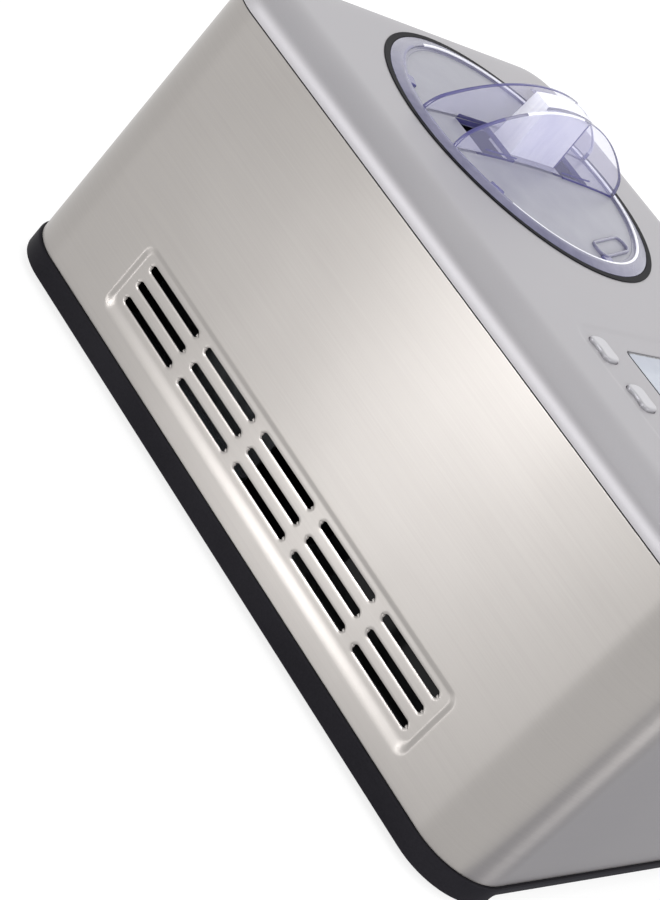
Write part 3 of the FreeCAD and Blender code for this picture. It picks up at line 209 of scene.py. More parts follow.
class Look(Enum):
    """The finishes on this machine."""

    # Cold-rolled stainless sheet, belt-brushed level: warm grey with fine level streaks, drawn 0.5 mm wide
    # so that they show, and highlights drawn out upright.
    STEEL = Finish("brushed_stainless_steel", "A9A5A2", "A39F9C", 0.33, 0.02, 1.0, Grain.LEVEL, 0.5, 90.0,
                   0.0006, brushed=0.88)
    # ABS sprayed with silver lacquer: cool pale grey, satin, with a faint metal-flake speckle, drawn 0.35 mm
    # wide so that it shows.
    COVER = Finish("silver_lacquered_abs", "ACAAAD", "A4A2A6", 0.5, 0.03, 0.65, Grain.SPECKLE, 0.35, 80.0, 0.001)
    # Moulded ABS with a spark-eroded texture: near black, dull.
    BASE = Finish("moulded_black_abs", "201F23", "17161A", 0.5, 0.06, grain_mm=0.9, gloss=0.04)
    # Satin black ABS: a thin dark line round the lid.
    RING = Finish("satin_black_abs", "17161B", "0F0E12", 0.4, 0.04, grain_mm=2.0, bump_mm=0.002, gloss=0.015)
    # Nitrile rubber: black, soft sheen, dusty in places.
    RUBBER = Finish("nitrile_rubber", "1E1E20", "131314", 0.75, 0.1, grain_mm=0.7, bump_mm=0.02, gloss=0.15)
    # Injection-moulded styrene copolymer: clear with a lilac veil where several walls lie behind one another.
    LID_CLEAR = SAN("clear_san", "C0BFE2", "B6B5DA", 0.08, 0.03, grain_mm=9.0, bump_mm=0.001, clear=0.82, gloss=0.2)
    # The cut edge of the same plastic, coloured deep lilac: the line that light bent inside the edge gives is painted
    # in.
    LID_EDGE = SAN("clear_san_edge", "514F84", "424073", 0.12, 0.03, grain_mm=6.0, bump_mm=0.002, clear=0.12)
    # The lid floor, misted by moulding: pale grey lilac and mostly opaque, its grey a painted shade for the dim bowl
    # seen through it.
    LID_FLOOR = SAN("misted_san", "A8A8B3", "9898A5", 0.35, grain_mm=16.0, cloud_mm=30.0, bump_mm=0.0002, clear=0.3)
    # The hollow post, with upright flow lines, thick enough to look milky; its near-white colour also paints in the
    # light it catches. The same finish is the pale painted highlight on the lid's rim and arch edges.
    LID_POST = SAN("pale_san_painted_highlight", "F6F6FC", "E0E0EE", 0.18, 0.05, 0.0, Grain.UPRIGHT, 1.5, 20.0, 0.002, clear=0.08)
    # The folded rim: two walls of the clear plastic over the black ring, so a deeper lilac.
    LID_RIM = SAN("folded_san_rim", "7A7992", "6A6982", 0.16, 0.04, grain_mm=5.0, cloud_mm=25.0, bump_mm=0.002,
                  clear=0.2)
    # Smoked acrylic pane over the display, coloured pale blue grey: the reflection it shows at this low angle is
    # painted into its colour.
    WINDOW = Finish("tinted_acrylic", "CDD2E0", "C2C8D8", 0.08, 0.02, grain_mm=9.0, bump_mm=0.002, clear=0.4,
                    ior=1.49)
    # Painted shadow: a dark finish on the pane's sides and a thin line along its far edge, standing in for the shade in
    # the gap round the pane.
    BORDER = Finish("painted_gap_shadow", "3A3B42", "303138", 0.3, 0.05, grain_mm=1.0, bump_mm=0.002)
    # Vacuum-metallised ABS: pale silver keys.
    BUTTON = Finish("silver_coated_abs", "B4B3B7", "ABAAAF", 0.36, 0.04, 0.6, grain_mm=0.5, bump_mm=0.0005)
    # Spun aluminium, coloured dark grey: satin, with level tool lines.
    BOWL = Finish("dark_grey_spun_aluminium", "515257", "45464B", 0.4, 0.06, 1.0, Grain.LEVEL, 0.7, 50.0, 0.004,
                  brushed=0.4)
    # Deep-drawn aluminium: pale, with upright draw marks.
    WELL = Finish("drawn_aluminium", "BFC0C2", "A9AAAD", 0.4, 0.08, 1.0, Grain.UPRIGHT, 0.8, 40.0, 0.006)
    # Moulded polypropylene: milky white, soft gloss.
    PADDLE = Finish("white_polypropylene", "EFEFEC", "E4E4E0", 0.4, 0.05, grain_mm=1.2, bump_mm=0.008)
    # Polyurethane foam: cream, full of cells about 1 mm wide.
    FOAM = Finish("polyurethane_foam", "EDE6CF", "D9CFAF", 0.9, 0.05, grain_mm=1.2, bump_mm=0.25)
    # Ground steel bar: bright, with fine upright marks.
    SHAFT = Finish("ground_steel", "C4C4C4", "ABABAC", 0.22, 0.05, 1.0, Grain.UPRIGHT, 0.4, 30.0, 0.002)
    # Zinc-plated pressing: blue-grey with a spangle.
    SHEET = Finish("zinc_plated_steel", "93979B", "787C81", 0.5, 0.1, 1.0, grain_mm=3.0, bump_mm=0.004)
    # Moulded nylon: cream, waxy.
    NYLON = Finish("moulded_nylon", "E9E5D8", "DDD8C8", 0.42, 0.05, grain_mm=1.0, bump_mm=0.006)
    # Turned brass: warm yellow, bright where it was cut.
    BRASS = Finish("turned_brass", "D8B866", "C29E4C", 0.28, 0.06, 1.0, Grain.UPRIGHT, 0.5, 20.0, 0.003)
    # Glass-filled nylon: mid grey, dull, with a faint fibre texture.
    CASE = Finish("glass_filled_nylon", "6B6D70", "56585B", 0.6, 0.08, grain_mm=0.8, bump_mm=0.02)
    # Blackened steel can: dark grey with a low sheen.
    MOTOR = Finish("blackened_steel", "4A4B4E", "38393C", 0.4, 0.08, 0.8, Grain.UPRIGHT, 0.8, 30.0, 0.006)
    # Stove enamel over a pressed shell: black with an orange-peel surface about 3 mm wide.
    PUMP = Finish("black_stove_enamel", "1C1D1F", "141516", 0.32, 0.06, grain_mm=3.0, bump_mm=0.02, coat=0.1, gloss=0.3)
    # Mill-finish aluminium sheet: pale, with rolling marks.
    FIN = Finish("mill_aluminium", "C6C8CA", "A5A7AA", 0.36, 0.08, 1.0, Grain.UPRIGHT, 0.9, 30.0, 0.008)
    # Moulded polyamide: black, satin.
    FAN = Finish("moulded_black_polyamide", "2A2B2D", "1F2022", 0.48, 0.06, grain_mm=0.9, bump_mm=0.012)
    # Drawn copper tube: orange brown, tarnished in patches.
    COPPER = Finish("drawn_copper", "CE8660", "A05F41", 0.34, 0.1, 1.0, grain_mm=2.0, cloud_mm=18.0, bump_mm=0.004)
    # Circuit laminate under solder mask: green, glossy, uneven over its tracks.
    BOARD = Finish("solder_masked_laminate", "2F6B45", "235636", 0.35, 0.06, grain_mm=1.5, cloud_mm=12.0, bump_mm=0.03)
    # Switched-off liquid-crystal glass: grey green.
    DISPLAY = Finish("liquid_crystal_glass", "7E8A8C", "6B7678", 0.2, 0.04, grain_mm=2.0, bump_mm=0.002)
    # Black-oxide steel: dark grey, oiled.
    SCREW = Finish("black_oxide_steel", "47484B", "35363A", 0.35, 0.08, 1.0, grain_mm=0.5, bump_mm=0.004)


@cache
def finish(look: Look) -> bpy.types.Material:
    """Return the one material of a look."""
    return look.value.build()


# ---- outlines and meshes


def rounded(half_x: float, half_y: float, radius: float, x: float = 0.0, y: float = 0.0,
            steps: int = 10, lead: float = 0.0) -> list[Point]:
    """Draw a rounded rectangle anticlockwise from its lower right corner.

    Args:
        half_x: Half its size in x.
        half_y: Half its size in y.
        radius: Corner radius.
        x: Centre in x.
        y: Centre in y.
        steps: Chords in a corner.
        lead: Distance from a corner of an extra point that keeps each straight flat.

    Returns:
        Its points.
    """
    points: list[Point] = []
    for turn, (right, far) in enumerate(((1, -1), (1, 1), (-1, 1), (-1, -1))):
        middle = (x + right * (half_x - radius), y + far * (half_y - radius))
        start = math.radians(90 * turn - 90)
        arc = [start + math.pi / 2 * k / steps for k in range(steps + 1)]
        bend = [(middle[0] + radius * math.cos(a), middle[1] + radius * math.sin(a)) for a in arc]
        if lead:
            before = (bend[0][0] + lead * math.sin(arc[0]), bend[0][1] - lead * math.cos(arc[0]))
            after = (bend[-1][0] - lead * math.sin(arc[-1]), bend[-1][1] + lead * math.cos(arc[-1]))
            bend = [before, *bend, after]
        points += bend
    return points


def grown(outline: list[Point], distance: float) -> list[Point]:
    """Move a smooth anticlockwise outline outwards.

    Args:
        outline: Its points.
        distance: How far; below nothing is inwards.

    Returns:
        As many moved points.
    """
    moved = []
    count = len(outline)
    for i, (x, y) in enumerate(outline):
        ahead = Vector(outline[(i + 1) % count]) - Vector((x, y))
        behind = Vector((x, y)) - Vector(outline[i - 1])
        outwards = Vector((ahead.y, -ahead.x)).normalized() + Vector((behind.y, -behind.x)).normalized()
        outwards *= 2 / max(outwards.length_squared, 1.0)
        moved.append((x + outwards.x * distance, y + outwards.y * distance))
    return moved


def softened(corners: list[tuple[float, float, float]], steps: int = 5) -> list[Point]:
    """Round the corners of a closed profile.

    Args:
        corners: Across, up and rounding of each corner.
        steps: Chords in a rounding.

    Returns:
        Its points.
    """
    most = 0.48  # of a side, so that two roundings never meet on it
    points: list[Point] = []
    count = len(corners)
    for i, (x, y, radius) in enumerate(corners):
        here = Vector((x, y))
        back = Vector(corners[i - 1][:2]) - here
        on = Vector(corners[(i + 1) % count][:2]) - here
        cut = min(radius, most * back.length, most * on.length)
        if cut < TINY:
            points.append((x, y))
            continue
        start, end = here + back.normalized() * cut, here + on.normalized() * cut
        for k in range(steps + 1):
            t = k / steps
            spot = start * (1 - t) ** 2 + here * 2 * t * (1 - t) + end * t ** 2
            points.append((spot.x, spot.y))
    return points


def added(name: str, data: bpy.types.ID) -> Piece:
    """Make an object and link it to the scene.

    Args:
        name: Its name.
        data: Its mesh, lamp or camera.

    Returns:
        The object.
    """
    made = bpy.data.objects.new(name, data)
    bpy.context.scene.collection.objects.link(made)
    return made


class MeshMaker:
    """Collects a piece's faces in millimetres and turns them into an object in metres."""

    def __init__(self) -> None:
        """Start with an empty mesh."""
        self.mesh = bmesh.new()

    def loop(self, points: list[Place]) -> Loop:
        """Add points and return their vertices."""
        return [self.mesh.verts.new(p) for p in points]

    def level(self, outline: list[Point], z: float) -> Loop:
        """Add an outline at a height and return its vertices."""
        return self.loop([(x, y, z) for x, y in outline])

    def face(self, corners: Loop, look: int = 0) -> None:
        """Add one face with the piece's finish of that number."""
        self.mesh.faces.new(corners).material_index = look

    def band(self, low: Loop, high: Loop, look: int = 0) -> None:
        """Join two closed loops of as many points by a band of faces.

        Args:
            low: One loop.
            high: The other.
            look: Number of the piece's finish.
        """
        for i in range(len(low)):
            j = (i + 1) % len(low)
            self.face([low[i], low[j], high[j], high[i]], look)

    def stack(self, loops: list[Loop], look: int = 0) -> None:
        """Join closed loops one after another."""
        for low, high in zip(loops, loops[1:]):
            self.band(low, high, look)

    def panel(self, loops: list[Loop]) -> None:
        """Fill a flat region between an outer loop and the holes in it.

        Args:
            loops: The outer loop and its holes.
        """
        edges = []
        for ring in loops:
            for a, b in zip(ring, ring[1:] + ring[:1]):
                edges.append(self.mesh.edges.get((a, b)) or self.mesh.edges.new((a, b)))
        bmesh.ops.triangle_fill(self.mesh, use_beauty=True, use_dissolve=False, edges=edges)

    def turned(self, profile: list[Point], x: float, y: float, count: int = 128,
               looks: dict[int, int] | None = None) -> None:
        """Turn a closed profile round an upright axis.

        Args:
            profile: Radius and height of its points.
            x: Place of the axis.
            y: Place of the axis.
            count: Chords in a turn.
            looks: Number of the finish by the number of the band, where it isn't the first.
        """
        turns = [2 * math.pi * k / count for k in range(count)]
        loops = [self.loop([(x + r * math.cos(a), y + r * math.sin(a), z) for a in turns]) for r, z in profile]
        for i, low in enumerate(loops):
            if max(profile[i][0], profile[(i + 1) % len(loops)][0]) > TINY:
                self.band(low, loops[(i + 1) % len(loops)], (looks or {}).get(i, 0))

    def solid(self, loops: list[Loop], look: int = 0, ends: int = 0) -> None:
        """Join loops and close both ends.

        Args:
            loops: Closed loops of as many points, from one end to the other.
            look: Number of the piece's finish between them.
            ends: Number of the piece's finish on both ends.
        """
        self.stack(loops, look)
        self.face(loops[0][::-1], ends)
        self.face(loops[-1], ends)

    def done(self, name: str, looks: list[Look]) -> Piece:
        """Close seams, point faces outwards and make the object.

        Args:
            name: Its name.
            looks: Its finishes in order.

        Returns:
            The object.
        """
        bmesh.ops.remove_doubles(self.mesh, verts=self.mesh.verts[:], dist=WELD)
        bmesh.ops.recalc_face_normals(self.mesh, faces=self.mesh.faces[:])
        self.mesh.transform(Matrix.Scale(MILLIMETRE, 4))
        data = bpy.data.meshes.new(name)
        self.mesh.to_mesh(data)
        self.mesh.free()
        for look in looks:
            data.materials.append(finish(look))
        return added(name, data)


def applied(piece: Piece) -> Piece:
    """Turn a piece's modifiers into its own mesh.

    Args:
        piece: The piece.

    Returns:
        The same piece.
    """
    bpy.context.view_layer.update()
    data = bpy.data.meshes.new_from_object(piece.evaluated_get(bpy.context.evaluated_depsgraph_get()))
    piece.modifiers.clear()
    old = piece.data
    piece.data = data
    bpy.data.meshes.remove(old)
    data.name = piece.name
    return piece


def thickened(piece: Piece, wall: float) -> Piece:
    """Give a sheet a wall behind its faces.

    Args:
        piece: The sheet.
        wall: Its thickness in millimetres.

    Returns:
        The same piece.
    """
    step = piece.modifiers.new("wall", "SOLIDIFY")
    step.thickness = wall * MILLIMETRE
    step.offset = -1.0
    return applied(piece)


class Carve(Enum):
    """What a closed shape does to a piece, as Blender's name of the operation."""

    CUT = "DIFFERENCE"
    JOIN = "UNION"


def carved(piece: Piece, tool: Piece, way: Carve = Carve.CUT) -> None:
    """Cut a closed shape out of a piece, or join it on.

    Args:
        piece: The piece.
        tool: The closed shape, which is used up.
        way: Which of the two.
    """
    step = piece.modifiers.new("carve", "BOOLEAN")
    step.operation = way.value
    step.solver = "EXACT"
    step.object = tool
    applied(piece)
    old = tool.data
    bpy.data.objects.remove(tool)
    bpy.data.meshes.remove(old)


def shaded(piece: Piece, sharp: float = 34.0) -> Piece:
    """Shade a piece smooth and keep its large faces flat.

    Args:
        piece: The piece.
        sharp: Degrees between two faces from which their edge stays sharp.

    Returns:
        The same piece.
    """
    piece.data.shade_smooth()
    piece.data.set_sharp_from_angle(angle=math.radians(sharp))
    piece.modifiers.new("normals", "WEIGHTED_NORMAL").keep_sharp = True
    return applied(piece)


def placed(piece: Piece, body: str, slot: str, *nodes: str) -> None:
    """Let a finished piece move with a body and stand for solids.

    Args:
        piece: The piece.
        body: Name of the body.
        slot: The record's material slot; not used.
        nodes: Solids that it stands for.
    """
    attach(piece, body)
    if nodes:
        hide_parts(*nodes)
    LOG.info("%s rides on %s, %d faces", piece.name, body, len(piece.data.polygons))


# ---- housing


@dataclass
class Footprint:
    """The rounded plan that the wrap, tray and cover share, in millimetres."""

    half_width: float = 134.0
    half_depth: float = 200.0
    corner: float = 32.0

    def inset(self, by: float, steps: int = 18, lead: float = 2.5) -> list[Point]:
        """Draw the plan moved inwards, with its chords in a corner and its extra points as for rounded()."""
        return rounded(self.half_width - by, self.half_depth - by, self.corner - by, steps=steps, lead=lead)


@dataclass
class VentField:
    """A pressed field of rounded slots in one side of the wrap, in millimetres."""

    slot_half: float = 21.8
    slot_rise: float = 2.0
    slot_end: float = 1.9
    pitch: float = 52.0
    row: float = 10.2
    columns: int = 5
    rows: int = 3
    centre_y: float = -5.4
    centre_z: float = 48.6
    end_margin: float = 9.3
    top_margin: float = 6.6
    low_margin: float = 10.4
    corner: float = 6.0
    corner_change: float = 2.0
    depth: float = 0.85
    end_slope: float = 4.0
    top_slope: float = 3.6
    low_slope: float = 7.4
    around: float = 3.0
    slope_steps: int = 10
    lip: tuple[Point, ...] = ((1.6, 0.0), (1.2, 0.02), (0.8, 0.06), (0.4, 0.14), (0.1, 0.26), (0.0, 0.4))

    def __post_init__(self) -> None:
        """Work out how far the pressed field reaches."""
        half_slots = (self.rows - 1) / 2 * self.row + self.slot_rise
        self.half_length = (self.columns - 1) / 2 * self.pitch + self.slot_half + self.end_margin
        self.low = self.centre_z - half_slots - self.low_margin
        self.high = self.centre_z + half_slots + self.top_margin

    def border(self, share: float, grow: float = 0.0) -> list[Point]:
        """Draw the field's outline part of the way down its sloping border.

        Args:
            share: Nothing at the outer edge, one at the foot.
            grow: How far outwards it is moved.

        Returns:
            Points along and up.
        """
        low, high = self.low + share * self.low_slope - grow, self.high - share * self.top_slope + grow
        return rounded(self.half_length - share * self.end_slope + grow, (high - low) / 2,
                       self.corner - self.corner_change * share, self.centre_y, (low + high) / 2, 8, 1.5)

    def build(self, maker: MeshMaker, opening: Loop, face_x: float) -> None:
        """Press the field into an opening that the wrap leaves for it.

        Args:
            maker: The wrap's mesh.
            opening: The opening's four corners.
            face_x: The side's own x, with its sign.
        """
        side = math.copysign(1.0, face_x)

        def laid(outline: list[Point], depth: float) -> Loop:
            """Lay an outline on the side at a depth below it."""
            return maker.loop([(face_x - side * depth, y, z) for y, z in outline])

        press = [laid(self.border(0.0, 1.2), 0.0)]
        for k in range(self.slope_steps + 1):
            share = k / self.slope_steps
            press.append(laid(self.border(share), self.depth * share * share * (3 - 2 * share)))
        press.append(laid(self.border(1.0, -0.4), self.depth))
        maker.panel([opening, press[0]])
        maker.stack(press)
        holes = []
        for column in range(self.columns):
            for row in range(self.rows):
                y = self.centre_y + (column - (self.columns - 1) / 2) * self.pitch
                z = self.centre_z + (row - (self.rows - 1) / 2) * self.row
                slot = rounded(self.slot_half, self.slot_rise, self.slot_end, y, z, 7, 0.6)
                lip = [laid(grown(slot, out), self.depth + sink) for out, sink in self.lip]
                maker.stack(lip)
                holes.append(lip[0])
        maker.panel([press[-1], *holes])


@dataclass
class Housing(Footprint):
    """The steel wrap, base tray and feet, in millimetres."""

    wrap_low: float = 16.0
    wrap_high: float = 173.8
    wrap_wall: float = 0.6
    tray_proud: float = 1.5
    tray_low: float = 4.0
    tray_floor: float = 7.0
    tray_rim: float = 5.5
    tray_height: float = 12.0
    recess_half: float = 103.0
    recess_back: float = -166.0
    recess_top: float = 12.0
    recess_reach: float = 30.0
    recess_corner: float = 10.0
    foot_radius: float = 11.0
    foot_x: float = 98.0
    foot_y: float = 146.0
    screw_radius: float = 4.2
    screw_height: float = 2.2
    # Of a screw head's radius: its lower radius, its cross's length and width, and the depth of the cross.
    screw_shares: tuple[float, ...] = (0.72, 1.1, 0.22, -0.38)
    screw_places: tuple[Point, ...] = ((-112, -118), (112, -118), (-118, 20), (118, 20), (-62, 176), (62, 176))
    vents: VentField = field(default_factory=VentField)

    def plan(self, inset: float) -> list[Point]:
        """Draw the wrap's plan with two extra points on each side, where its vent field starts and ends.

        Args:
            inset: How far it is moved inwards.

        Returns:
            Its points.
        """
        reach = self.vents.half_length + self.vents.around
        low, high = self.vents.centre_y - reach, self.vents.centre_y + reach
        wide = self.half_width - inset
        outline = self.inset(inset)
        part = len(outline) // 4
        return [*outline[:part], (wide, low), (wide, high), *outline[part:3 * part],
                (-wide, high), (-wide, low), *outline[3 * part:]]

    def build_wrap(self) -> None:
        """Make the brushed wrap with a vent field in each side."""
        maker = MeshMaker()
        low, high = self.vents.low - self.vents.around, self.vents.high + self.vents.around
        steps = [(self.wrap_low, 0.4), (self.wrap_low + 0.15, 0.1), (self.wrap_low + 0.6, 0.0), (low, 0.0),
                 (high, 0.0), (self.wrap_high - 0.4, 0.0), (self.wrap_high - 0.1, 0.06), (self.wrap_high, 0.25)]
        loops = [maker.level(self.plan(inset), z) for z, inset in steps]
        part = (len(loops[0]) - 4) // 4
        gaps = {part: self.half_width, 3 * part + 2: -self.half_width}
        for i, (below, above) in enumerate(zip(loops, loops[1:])):
            for j in range(len(below)):
                k = (j + 1) % len(below)
                corners = [below[j], below[k], above[k], above[j]]
                if steps[i][0] == low and j in gaps:
                    self.vents.build(maker, corners, gaps[j])
                else:
                    maker.face(corners)
        wrap = thickened(maker.done("steel_wrap", [Look.STEEL]), self.wrap_wall)
        placed(shaded(wrap), "housing", "steel_wrap", "body_wrap")

    def build_tray(self) -> None:
        """Make the base tray with its soft edges and the finger recess under its front."""
        maker = MeshMaker()
        rim, top = self.tray_rim, self.tray_height
        steps = ((3.2, 0.0), (2.2, 0.0), (1.0, 0.25), (0.3, 0.8), (0.0, 1.8), (0.0, top - 1.2), (0.15, top - 0.5),
                 (0.5, top - 0.1), (1.0, top), (rim - 0.6, top), (rim, top - 0.6), (rim, 4.0),
                 (rim + 1.0, self.tray_floor - self.tray_low))
        maker.solid([maker.level(self.inset(by - self.tray_proud, 16, 2.0), self.tray_low + up) for by, up in steps])
        tray = maker.done("base_tray_shell", [Look.BASE])
        maker = MeshMaker()
        middle = self.recess_back - self.recess_reach
        shape = rounded(self.recess_half, self.recess_reach, self.recess_corner, 0.0, middle, 8)
        maker.solid([maker.level(grown(shape, out), z) for z, out in (
            (0.0, 0.6), (self.recess_top - 2.0, 0.0), (self.recess_top - 0.6, -0.6), (self.recess_top, -2.0))])
        carved(tray, maker.done("recess_tool", [Look.BASE]))
        placed(shaded(tray), "housing", "base_black", "base_tray")

    def build_feet(self) -> None:
        """Make the four moulded feet with a domed tread and a groove."""
        maker = MeshMaker()
        radius, top = self.foot_radius, self.tray_low
        profile = softened([
            (0.0, top, 0.0), (radius, top, 0.3), (radius, top - 1.2, 0.3), (radius - 0.7, top - 1.6, 0.3),
            (radius - 0.5, top - 2.0, 0.3), (radius - 1.2, 0.0, 1.2), (4.0, 0.0, 0.4), (3.4, 0.6, 0.4),
            (0.0, 0.6, 0.0)])
        for x in (-self.foot_x, self.foot_x):
            for y in (-self.foot_y, self.foot_y):
                maker.turned(profile, x, y, 48)
        placed(shaded(maker.done("moulded_feet", [Look.RUBBER])), "housing", "foot_rubber", "rubber_feet")

    def build_screws(self) -> None:
        """Set the base screws under the tray with Geometry Nodes."""
        tree = bpy.data.node_groups.new("base_screws", "GeometryNodeTree")
        add = partial(add_node, tree)
        tree.interface.new_socket("Geometry", in_out="INPUT", socket_type="NodeSocketGeometry")
        radius, height = (tree.interface.new_socket(name, in_out="INPUT", socket_type="NodeSocketFloat")
                          for name in ("Head Radius", "Head Height"))
        tree.interface.new_socket("Geometry", in_out="OUTPUT", socket_type="NodeSocketGeometry")
        given = add("NodeGroupInput").outputs
        lower, long, thin, depth = (
            add("ShaderNodeMath", {0: given["Head Radius"], 1: share}, operation="MULTIPLY").outputs[0]
            for share in self.screw_shares)
        head = add("GeometryNodeMeshCone", {
            "Vertices": 24, "Radius Top": given["Head Radius"], "Radius Bottom": lower,
            "Depth": given["Head Height"]})
        down = add("ShaderNodeCombineXYZ", {"Z": depth}).outputs[0]
        cross = []
        for across, along in ((long, thin), (thin, long)):
            size = add("ShaderNodeCombineXYZ", {"X": across, "Y": along, "Z": long})
            arm = add("GeometryNodeMeshCube", {"Size": size.outputs[0]})
            sunk = add("GeometryNodeTransform", {"Geometry": arm.outputs["Mesh"], "Translation": down})
            cross.append(sunk.outputs[0])
        cut = add("GeometryNodeMeshBoolean", {"Mesh 1": head.outputs["Mesh"], "Mesh 2": cross[0]},
                  operation="DIFFERENCE", solver="EXACT")
        tree.links.new(cross[1], cut.inputs["Mesh 2"])
        many = add("GeometryNodeInstanceOnPoints", {"Points": given["Geometry"], "Instance": cut.outputs["Mesh"]})
        real = add("GeometryNodeRealizeInstances", {"Geometry": many.outputs["Instances"]})
        dress = add("GeometryNodeSetMaterial", {
            "Geometry": real.outputs["Geometry"], "Material": finish(Look.SCREW)})
        add("NodeGroupOutput", {"Geometry": dress.outputs["Geometry"]})
        maker = MeshMaker()
        maker.loop([(x, y, self.tray_low - 1.0) for x, y in self.screw_places])
        screws = maker.done("base_screws", [Look.SCREW])
        step = screws.modifiers.new("screws", "NODES")
        step.node_group = tree
        step[radius.identifier] = self.screw_radius * MILLIMETRE
        step[height.identifier] = self.screw_height * MILLIMETRE
        placed(shaded(applied(screws)), "housing", "shaft_steel")

    def build(self) -> None:
        """Make every piece of the housing."""
        self.build_wrap()
        self.build_tray()
        self.build_feet()
        self.build_screws()


# ---- top cover and controls


@dataclass
class Button:
    """One push button beside the display, in millimetres."""

    name: str
    x: float
    y: float
    half_x: float = 7.0
    half_y: float = 7.6
    squareness: float = 0.72
    notch_half: float = 0.5
    notch_depth: float = 0.32
    notch_near: float = 0.5
    points: int = 64
    low: float = 184.5
    flange: float = 1.4
    flange_high: float = 186.5
    shoulder: float = 189.2
    top: float = 190.2
    stem_half: float = 3.0
    stem_low: float = 182.0

    def outline(self, grow: float = 0.0) -> list[Point]:
        """Draw the bean outline with a soft notch on each side, the deeper one away from the display.

        Args:
            grow: How far it is moved outwards.

        Returns:
            Its points.
        """
        away = math.copysign(1.0, self.x)
        points = []
        for k in range(self.points):
            a = 2 * math.pi * k / self.points
            across, along = math.cos(a), math.sin(a)
            turn = math.atan2(along, away * across)
            near, far = turn / self.notch_half, (math.pi - abs(turn)) / self.notch_half
            pull = 1 - self.notch_depth * (math.exp(-near * near) + self.notch_near * math.exp(-far * far))
            px = math.copysign(abs(across) ** self.squareness, across) * self.half_x * pull
            py = math.copysign(abs(along) ** self.squareness, along) * self.half_y
            points.append((px, py))
        return [(self.x + px, self.y + py) for px, py in grown(points, grow)]

    def build(self) -> None:
        """Make the key with its crowned top, flange and stem."""
        maker = MeshMaker()
        rest, flange, top = self.flange_high, self.flange, self.top
        steps = ((self.low, flange), (rest - 0.2, flange), (rest, flange - 0.2), (rest, 0.0), (self.shoulder, 0.0),
                 (top - 0.5, -0.12), (top - 0.2, -0.45), (top - 0.05, -1.0), (top, -1.8))
        maker.solid([maker.level(self.outline(out), z) for z, out in steps])
        stem = rounded(self.stem_half, self.stem_half, 0.8, self.x, self.y, 4)
        maker.solid([maker.level(grown(stem, out), z) for z, out in (
            (self.stem_low, -0.4), (self.stem_low + 0.4, 0.0), (self.low + 0.1, 0.0))])
        placed(shaded(maker.done(self.name + "_key", [Look.BUTTON])), self.name, "button_silver", self.name)


